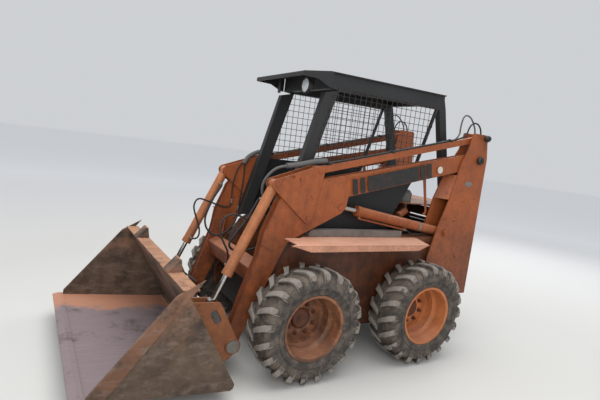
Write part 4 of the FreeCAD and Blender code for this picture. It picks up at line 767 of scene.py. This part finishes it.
def tube_route(name, points, radius, smooth=3):
    """A tube on a smooth line through a route, with the points that it follows."""
    curve = bpy.data.curves.new(name, "CURVE")
    curve.dimensions = "3D"
    spline = curve.splines.new("NURBS")
    spline.points.add(len(points) - 1)
    for place, point in zip(spline.points, points):
        place.co = (*point, 1)
    spline.order_u = smooth
    spline.use_endpoint_u = True
    curve.resolution_u = 8
    thing = bpy.data.objects.new(name, curve)
    line = [vert.co.copy() for vert in bpy.data.meshes.new_from_object(thing).vertices]
    curve.bevel_depth = radius
    curve.bevel_resolution = 3
    curve.use_fill_caps = True
    tube = bpy.data.meshes.new_from_object(thing)
    bpy.data.objects.remove(thing)
    bpy.data.curves.remove(curve)
    return tube, line


# Each hose that crosses a joint: the body that holds its start, the body that holds its end, where along X it
# starts and ends to turn, its radius, its finish, and its route on each side in millimetres, with y from the
# machine's middle.
HOSES = [
    ("rod_hose", "bell_cranks", "tilt_barrels", 0.38, 0.6, 0.0065, "hose", {
        "left": [(352, 376, 1040), (350, 374, 985), (430, 364, 962), (550, 352, 1022), (640, 348, 1056),
                 (714, 350, 1008), (715, 354, 925), (682, 352, 860), (640, 344, 795), (630, 330, 728),
                 (655, 340, 716), (655, 386, 716)],
        "right": [(352, 376, 1040), (344, 374, 985), (420, 364, 972), (550, 352, 1018), (640, 348, 1044),
                  (670, 350, 988), (656, 354, 930), (626, 354, 860), (602, 346, 790), (612, 332, 730),
                  (655, 340, 716), (655, 386, 716)],
    }),
    ("base_hose", "bell_cranks", "tilt_barrels", 0.3, 0.44, 0.0075, "hose", {
        "left": [(284, 376, 985), (286, 372, 930), (340, 330, 855), (450, 306, 800), (580, 322, 790), (652, 344, 838),
                 (610, 354, 920), (545, 354, 1000), (505, 350, 1075), (472, 336, 1130), (457, 338, 1158),
                 (457, 386, 1158)],
        "right": [(284, 376, 985), (286, 372, 930), (325, 325, 850), (405, 298, 778), (475, 322, 746),
                  (542, 356, 784), (568, 364, 870), (545, 360, 960), (508, 352, 1060), (472, 336, 1130),
                  (457, 338, 1158), (457, 386, 1158)],
    }),
    ("tower_loop_tall", "chassis", "levelling_links", -1.43, -1.27, 0.0065, "sleeve", {
        "both": [(-1437, 428, 1760), (-1436, 428, 1825), (-1404, 430, 1885), (-1338, 432, 1948), (-1262, 432, 1948),
                 (-1246, 428, 1850), (-1256, 426, 1775), (-1205, 426, 1739.5)],
    }),
    ("tower_loop_low", "chassis", "levelling_links", -1.46, -1.3, 0.0065, "hose", {
        "both": [(-1496, 442, 1770), (-1494, 442, 1828), (-1456, 443, 1888), (-1388, 444, 1904), (-1334, 444, 1862),
                 (-1316, 444, 1786), (-1250, 444, 1755), (-1180, 444, 1733.2)],
    }),
    ("lift_hose", "lift_barrels", "chassis", -0.86, -1.1, 0.006, "hose", {
        "both": [(-776, 435, 984), (-820, 435, 979), (-858, 433, 952), (-940, 430, 951), (-1030, 422, 950),
                 (-1105, 414, 944), (-1140, 412, 944), (-1140, 393, 944)],
    }),
]

# The tubes and sleeves that one body holds: that body, radius, finish and route.
TUBES = [
    ("knee_sleeve", "bell_cranks", 0.018, "sleeve", {
        "left": [(30, 435, 1452), (100, 435, 1446), (190, 435, 1422), (260, 435, 1404), (335, 435, 1394)],
        "right": [(30, 435, 1454), (100, 430, 1450), (160, 410, 1436), (215, 384, 1412), (262, 364, 1384),
                  (284, 362, 1338)],
    }),
    ("knee_hose", "bell_cranks", 0.009, "sleeve", {
        "left": [(320, 435, 1394), (384, 435, 1386), (440, 428, 1346), (474, 400, 1278), (464, 370, 1200),
                 (410, 364, 1120), (352, 374, 1090), (352, 376, 1045)],
    }),
    ("crank_tube_front", "bell_cranks", 0.005, "hose", {
        "right": [(290, 364, 1352), (325, 374, 1300), (350, 377, 1200), (355, 377, 1120), (352, 377, 1045)],
    }),
    ("crank_tube_rear", "bell_cranks", 0.005, "hose", {
        "left": [(270, 430, 1402), (268, 388, 1388), (266, 376, 1330), (270, 377, 1130), (284, 377, 990)],
        "right": [(278, 364, 1352), (264, 374, 1290), (270, 377, 1130), (284, 377, 990)],
    }),
    ("link_line_inner", "levelling_links", 0.0062, "sleeve", {
        "both": [(-1210, 426, 1740.8), (-1136, 426, 1722.2), (-840, 424, 1647), (-541, 426, 1573),
                 (-250, 428, 1498.5), (37, 427, 1431), (75, 428, 1442)],
    }),
    ("link_line_outer", "levelling_links", 0.0062, "hose", {
        "both": [(-1185, 444, 1734.5), (-1136, 444, 1722.2), (-840, 446, 1649), (-541, 444, 1573),
                 (-250, 443, 1500.5), (37, 443, 1431), (75, 442, 1442)],
    }),
    ("filler_neck", "chassis", 0.028, "arm paint", {
        "left": [(-950, 120, 985), (-955, 200, 1080), (-905, 300, 1118), (-840, 330, 1098), (-800, 336, 1080)],
    }),
]


def each_side(routes):
    """A piece's sides, each with its route in metres."""
    for side, out in SIDES.items():
        route = routes.get(side, routes.get("both"))
        if route:
            yield side, [Vector((x / 1000, out * y / 1000, z / 1000)) for x, y, z in route]


class LOADER_OT_hoses(bpy.types.Operator):
    """Oil hoses with crimped ends, and the tubes and sleeves between them"""
    bl_idname = "loader.hoses"
    bl_label = "Hoses and tubes"

    def execute(self, context):
        self.fittings = {}
        for name, holds_start, holds_end, turn_from, turn_to, radius, finish, routes in HOSES:
            for side, route in each_side(routes):
                label = f"{name}_{side}"
                tube, line = tube_route(label, route, radius)
                hose = coated(tube, label, finish, 50)
                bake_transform(hose)
                if not name.startswith("tower_loop"):
                    self.crimp(holds_end, route[-1], route[-2] - route[-1], radius)
                    self.crimp(holds_start, route[0], route[1] - route[0], radius)
        for name, body, radius, finish, routes in TUBES:
            for side, route in each_side(routes):
                label = f"{name}_{side}"
                piece = coated(tube_route(label, route, radius)[0], label, finish, 50)
                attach(piece, body)
        for body, mesh in self.fittings.items():
            finish_piece(mesh, "hose_fittings_" + body, body, "zinc", 30)
        self.add_clamps()
        return {"FINISHED"}

    def crimp(self, body, at, way, radius):
        """A union nut and a crimped ferrule at a hose's end."""
        mesh = self.fittings.setdefault(body, bmesh.new())
        way = way.normalized()
        bar(mesh, at - way * 0.002, at + way * 0.012, radius * 1.7, 6)
        bar(mesh, at + way * 0.01, at + way * 0.034, radius * 1.32, 14)
        bar(mesh, at + way * 0.018, at + way * 0.021, radius * 1.45, 14)

    def add_clamps(self):
        """Rubber-lined clamps on top of the levelling links."""
        mesh = bmesh.new()
        for side in SIDES.values():
            for x, z in ((-1.136, 1.7222), (-0.541, 1.573), (0.01, 1.4375)):
                at, half = Vector((x, side * ARM_MIDDLE, z)), Vector((0.013, 0.024, 0.01))
                made = block(mesh, at - half, at + half)
                bmesh.ops.rotate(mesh, cent=at, verts=made, matrix=Matrix.Rotation(math.atan(LINK_SLOPE), 3, "Y"))
                bolt(mesh, at + UP * half.z, UP, 0.006, 0.006)
        finish_piece(mesh, "link_clamps", "levelling_links", "black paint", 30)


# Stripes and blank plates

def lower_edge(x):
    """Height of a lift arm's lower edge on its beam."""
    return 1.219 + 0.2413 * (-0.172 - x)


class LOADER_OT_markings(bpy.types.Operator):
    """Black vinyl stripes with a plain field, and blank plates"""
    bl_idname = "loader.markings"
    bl_label = "Markings"

    def execute(self, context):
        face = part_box("lift_arm_left")[1].y - PIN_HEAD
        for side, out in SIDES.items():
            stripes = bmesh.new()
            for front, rear in ((-0.178, -0.219), (-0.242, -0.284), (-0.309, -0.791), (-0.807, -0.86),
                                (-0.876, -0.923)):
                outline = []
                for x, rise in ((front, 0.126), (rear, 0.124), (rear, 0.009), (front, 0.009)):
                    lean = -0.024 * (0.126 - rise) / 0.117
                    outline.append((x + lean, lower_edge(x + lean) + rise))
                prism(stripes, outline, out * (face - 0.0004), out * (face + 0.0007))
            finish_piece(stripes, "arm_stripes_" + side, "lift_arms", "stripe vinyl")
            dot = bmesh.new()
            bar(dot, (-1.028, out * (face - 0.0004), 1.481), (-1.028, out * (face + 0.0012), 1.481), 0.028, 40)
            finish_piece(dot, "reflector_" + side, "lift_arms", "reflector", 30)
            plate = bmesh.new()
            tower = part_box("tower_left")[1].y - PIN_HEAD
            bar(plate, (0, 0, -0.0004), (0, 0, 0.0014), 0.021, 48)
            bmesh.ops.scale(plate, vec=(2.1, 1, 1), verts=plate.verts)
            for x in (-0.034, 0.034):
                bar(plate, (x, 0, 0.001), (x, 0, 0.003), 0.003, 10)
            turn = Matrix.Rotation(-out * math.pi / 2, 4, "X")
            bmesh.ops.transform(plate, matrix=Matrix.Translation((-1.385, out * tower, 1.391)) @ turn,
                                verts=plate.verts)
            finish_piece(plate, "blank_plate_" + side, "chassis", "zinc", 30)
        return {"FINISHED"}


# Small fittings

class LOADER_OT_fittings(bpy.types.Operator):
    """Pin caps, bolts, lamp glass, latch plates, grips and parts of the engine bay"""
    bl_idname = "loader.fittings"
    bl_label = "Fittings"

    def execute(self, context):
        for side, out in SIDES.items():
            self.add_pin_caps(side, out)
            self.add_latch_plate(side, out)
        self.add_lamp_glass()
        self.add_grips()
        self.add_lever()
        self.add_engine_bay()
        return {"FINISHED"}

    def add_pin_caps(self, side, out):
        caps, way = bmesh.new(), ACROSS * out
        for x, z, radius, reach in ((-1.465, 1.596, 0.034, 0.03), (-1.505, 1.784, 0.027, 0.036)):
            foot = Vector((x, out * TOWER_FACE, z))
            lathe(caps, [(0, 0), (0, radius * 0.8), (0.006, radius), (reach * 0.7, radius), (reach, radius * 0.75),
                         (reach, radius * 0.35), (reach + 0.008, radius * 0.3), (reach + 0.008, 0)], foot, way, 32)
        finish_piece(caps, "pivot_caps_" + side, "chassis", "black paint", 40)
        bolts = bmesh.new()
        bolt(bolts, (-1.187, out * TOWER_FACE, 0.972), way, 0.02, 0.02)
        finish_piece(bolts, "lift_base_bolt_" + side, "chassis", "arm paint", 30)
        band = bmesh.new()
        along = Vector((0.987255, 0, 0.159145))
        foot = Vector((-1.187, out * ARM_MIDDLE, 0.972)) + along * 0.25
        lathe(band, [(0, 0.0372), (0.001, 0.0392), (0.021, 0.0392), (0.022, 0.0372)], foot, along, 48)
        finish_piece(band, "barrel_band_" + side, "lift_barrels", "zinc", 40)

    def add_latch_plate(self, side, out):
        """Grey latch block behind the window of the coupler, with its bolt."""
        mesh = bmesh.new()
        way = Vector((0.4796, 0, 0.8775))
        aside, centre = Vector((-way.z, 0, way.x)), Vector((0.735, 0, 0.416))
        corners = [centre + way * u + aside * v for u, v in ((-0.04, -0.021), (0.04, -0.021), (0.046, 0),
                                                             (0.04, 0.021), (-0.04, 0.021), (-0.046, 0))]
        prism(mesh, [(c.x, c.z) for c in corners], out * 0.4766, out * 0.4825)
        bolt(mesh, centre + way * 0.012 + ACROSS * out * 0.4825, ACROSS * out, 0.011, 0.008)
        finish_piece(mesh, "latch_plate_" + side, "bucket", "sleeve", 30)

    def add_lamp_glass(self):
        low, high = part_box("work_lamp")
        centre = Vector((high.x - 0.007, (low.y + high.y) / 2, (low.z + high.z) / 2))
        glass = bmesh.new()
        lathe(glass, [(0, 0), (0, 0.0468), (0.003, 0.0468), (0.0055, 0.036), (0.0075, 0.02), (0.008, 0)], centre,
              (1, 0, 0), 64)
        finish_piece(glass, "lamp_glass", "chassis", "lamp glass", 40)

    def add_grips(self):
        grips = bmesh.new()
        for side in SIDES.values():
            y = side * 0.255
            foot, tip = Vector((0.006, y, 1.152)), Vector((-0.022, y, 1.283))
            length = (tip - foot).length
            profile = [(0, 0.0172)]
            for i in range(10):
                start = 0.006 + i * (length - 0.016) / 10
                profile += [(start, 0.0178), (start + 0.002, 0.0195), (start + 0.008, 0.0195), (start + 0.01, 0.0178)]
            profile += [(length, 0.0178), (length + 0.006, 0.013), (length + 0.008, 0)]
            lathe(grips, profile, foot, tip - foot, 28)
            foot = Vector((0.03, y, 0.4805))
            boot = [(0, 0.045)]
            for i in range(5):
                boot += [(0.008 + i * 0.014, 0.044 - i * 0.006), (0.015 + i * 0.014, 0.036 - i * 0.006)]
            lathe(grips, boot + [(0.09, 0.0095)], foot, UP, 28)
        finish_piece(grips, "lever_grips", "chassis", "hose", 40)

    def add_lever(self):
        """Release handle of the coupler, on the inner face of its right side."""
        mesh, y = bmesh.new(), -0.372
        bar(mesh, (0.7, -0.3835, 0.453), (0.7, -0.366, 0.453), 0.011, 20)
        bar(mesh, (0.7, y, 0.453), (0.6, y, 0.378), 0.006, 14)
        bar(mesh, (0.64, y, 0.408), (0.582, y, 0.3645), 0.0095, 18)
        finish_piece(mesh, "coupler_release", "bucket", "zinc", 40)

    def add_engine_bay(self):
        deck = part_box("engine_hood")[1].z
        canister = bmesh.new()
        lathe(canister, [(0, 0), (0, 0.046), (0.004, 0.05), (0.07, 0.05), (0.078, 0.047), (0.082, 0.04),
                         (0.09, 0.038), (0.098, 0.03), (0.1, 0)], (-0.881, 0.296, deck), UP, 40)
        bar(canister, (-0.881, 0.296, deck + 0.098), (-0.881, 0.296, deck + 0.112), 0.012, 6)
        finish_piece(canister, "filter_canister", "chassis", "sleeve", 40)
        cap = bmesh.new()
        way = Vector((0.04, 0.006, -0.018)).normalized()
        foot = Vector((-0.804, 0.3355, 1.082))
        lathe(cap, [(0, 0), (0, 0.033), (0.016, 0.034), (0.02, 0.029), (0.021, 0)], foot, way, 32)
        block(cap, (-0.905, 0.3, 1.13), (-0.885, 0.306, deck - 0.008))
        finish_piece(cap, "filler_cap", "chassis", "hub paint", 40)


OPERATORS = [
    LOADER_OT_stage, LOADER_OT_hoses, LOADER_OT_paint_frame, LOADER_OT_tyres, LOADER_OT_rims, LOADER_OT_screens,
    LOADER_OT_seat, LOADER_OT_markings, LOADER_OT_fittings,
]


class LOADER_PT_panel(bpy.types.Panel):
    """The loader's steps, in order"""
    bl_idname = "LOADER_PT_panel"
    bl_label = "Skid steer loader"
    bl_space_type = "VIEW_3D"
    bl_region_type = "UI"
    bl_category = "Loader"

    def draw(self, context):
        for name in LoaderSettings.__annotations__:
            self.layout.prop(context.scene.loader_settings, name)
        for operator in OPERATORS:
            self.layout.operator(operator.bl_idname)


def register():
    for part in [LoaderSettings, *OPERATORS, LOADER_PT_panel]:
        bpy.utils.register_class(part)
    bpy.types.Scene.loader_settings = bpy.props.PointerProperty(type=LoaderSettings)


def unregister():
    del bpy.types.Scene.loader_settings
    for part in reversed([LoaderSettings, *OPERATORS, LOADER_PT_panel]):
        bpy.utils.unregister_class(part)


def main():
    register()
    make_materials()
    for operator in OPERATORS:
        group, name = operator.bl_idname.split(".")
        getattr(getattr(bpy.ops, group), name)()


if __name__ == "__main__":
    main()
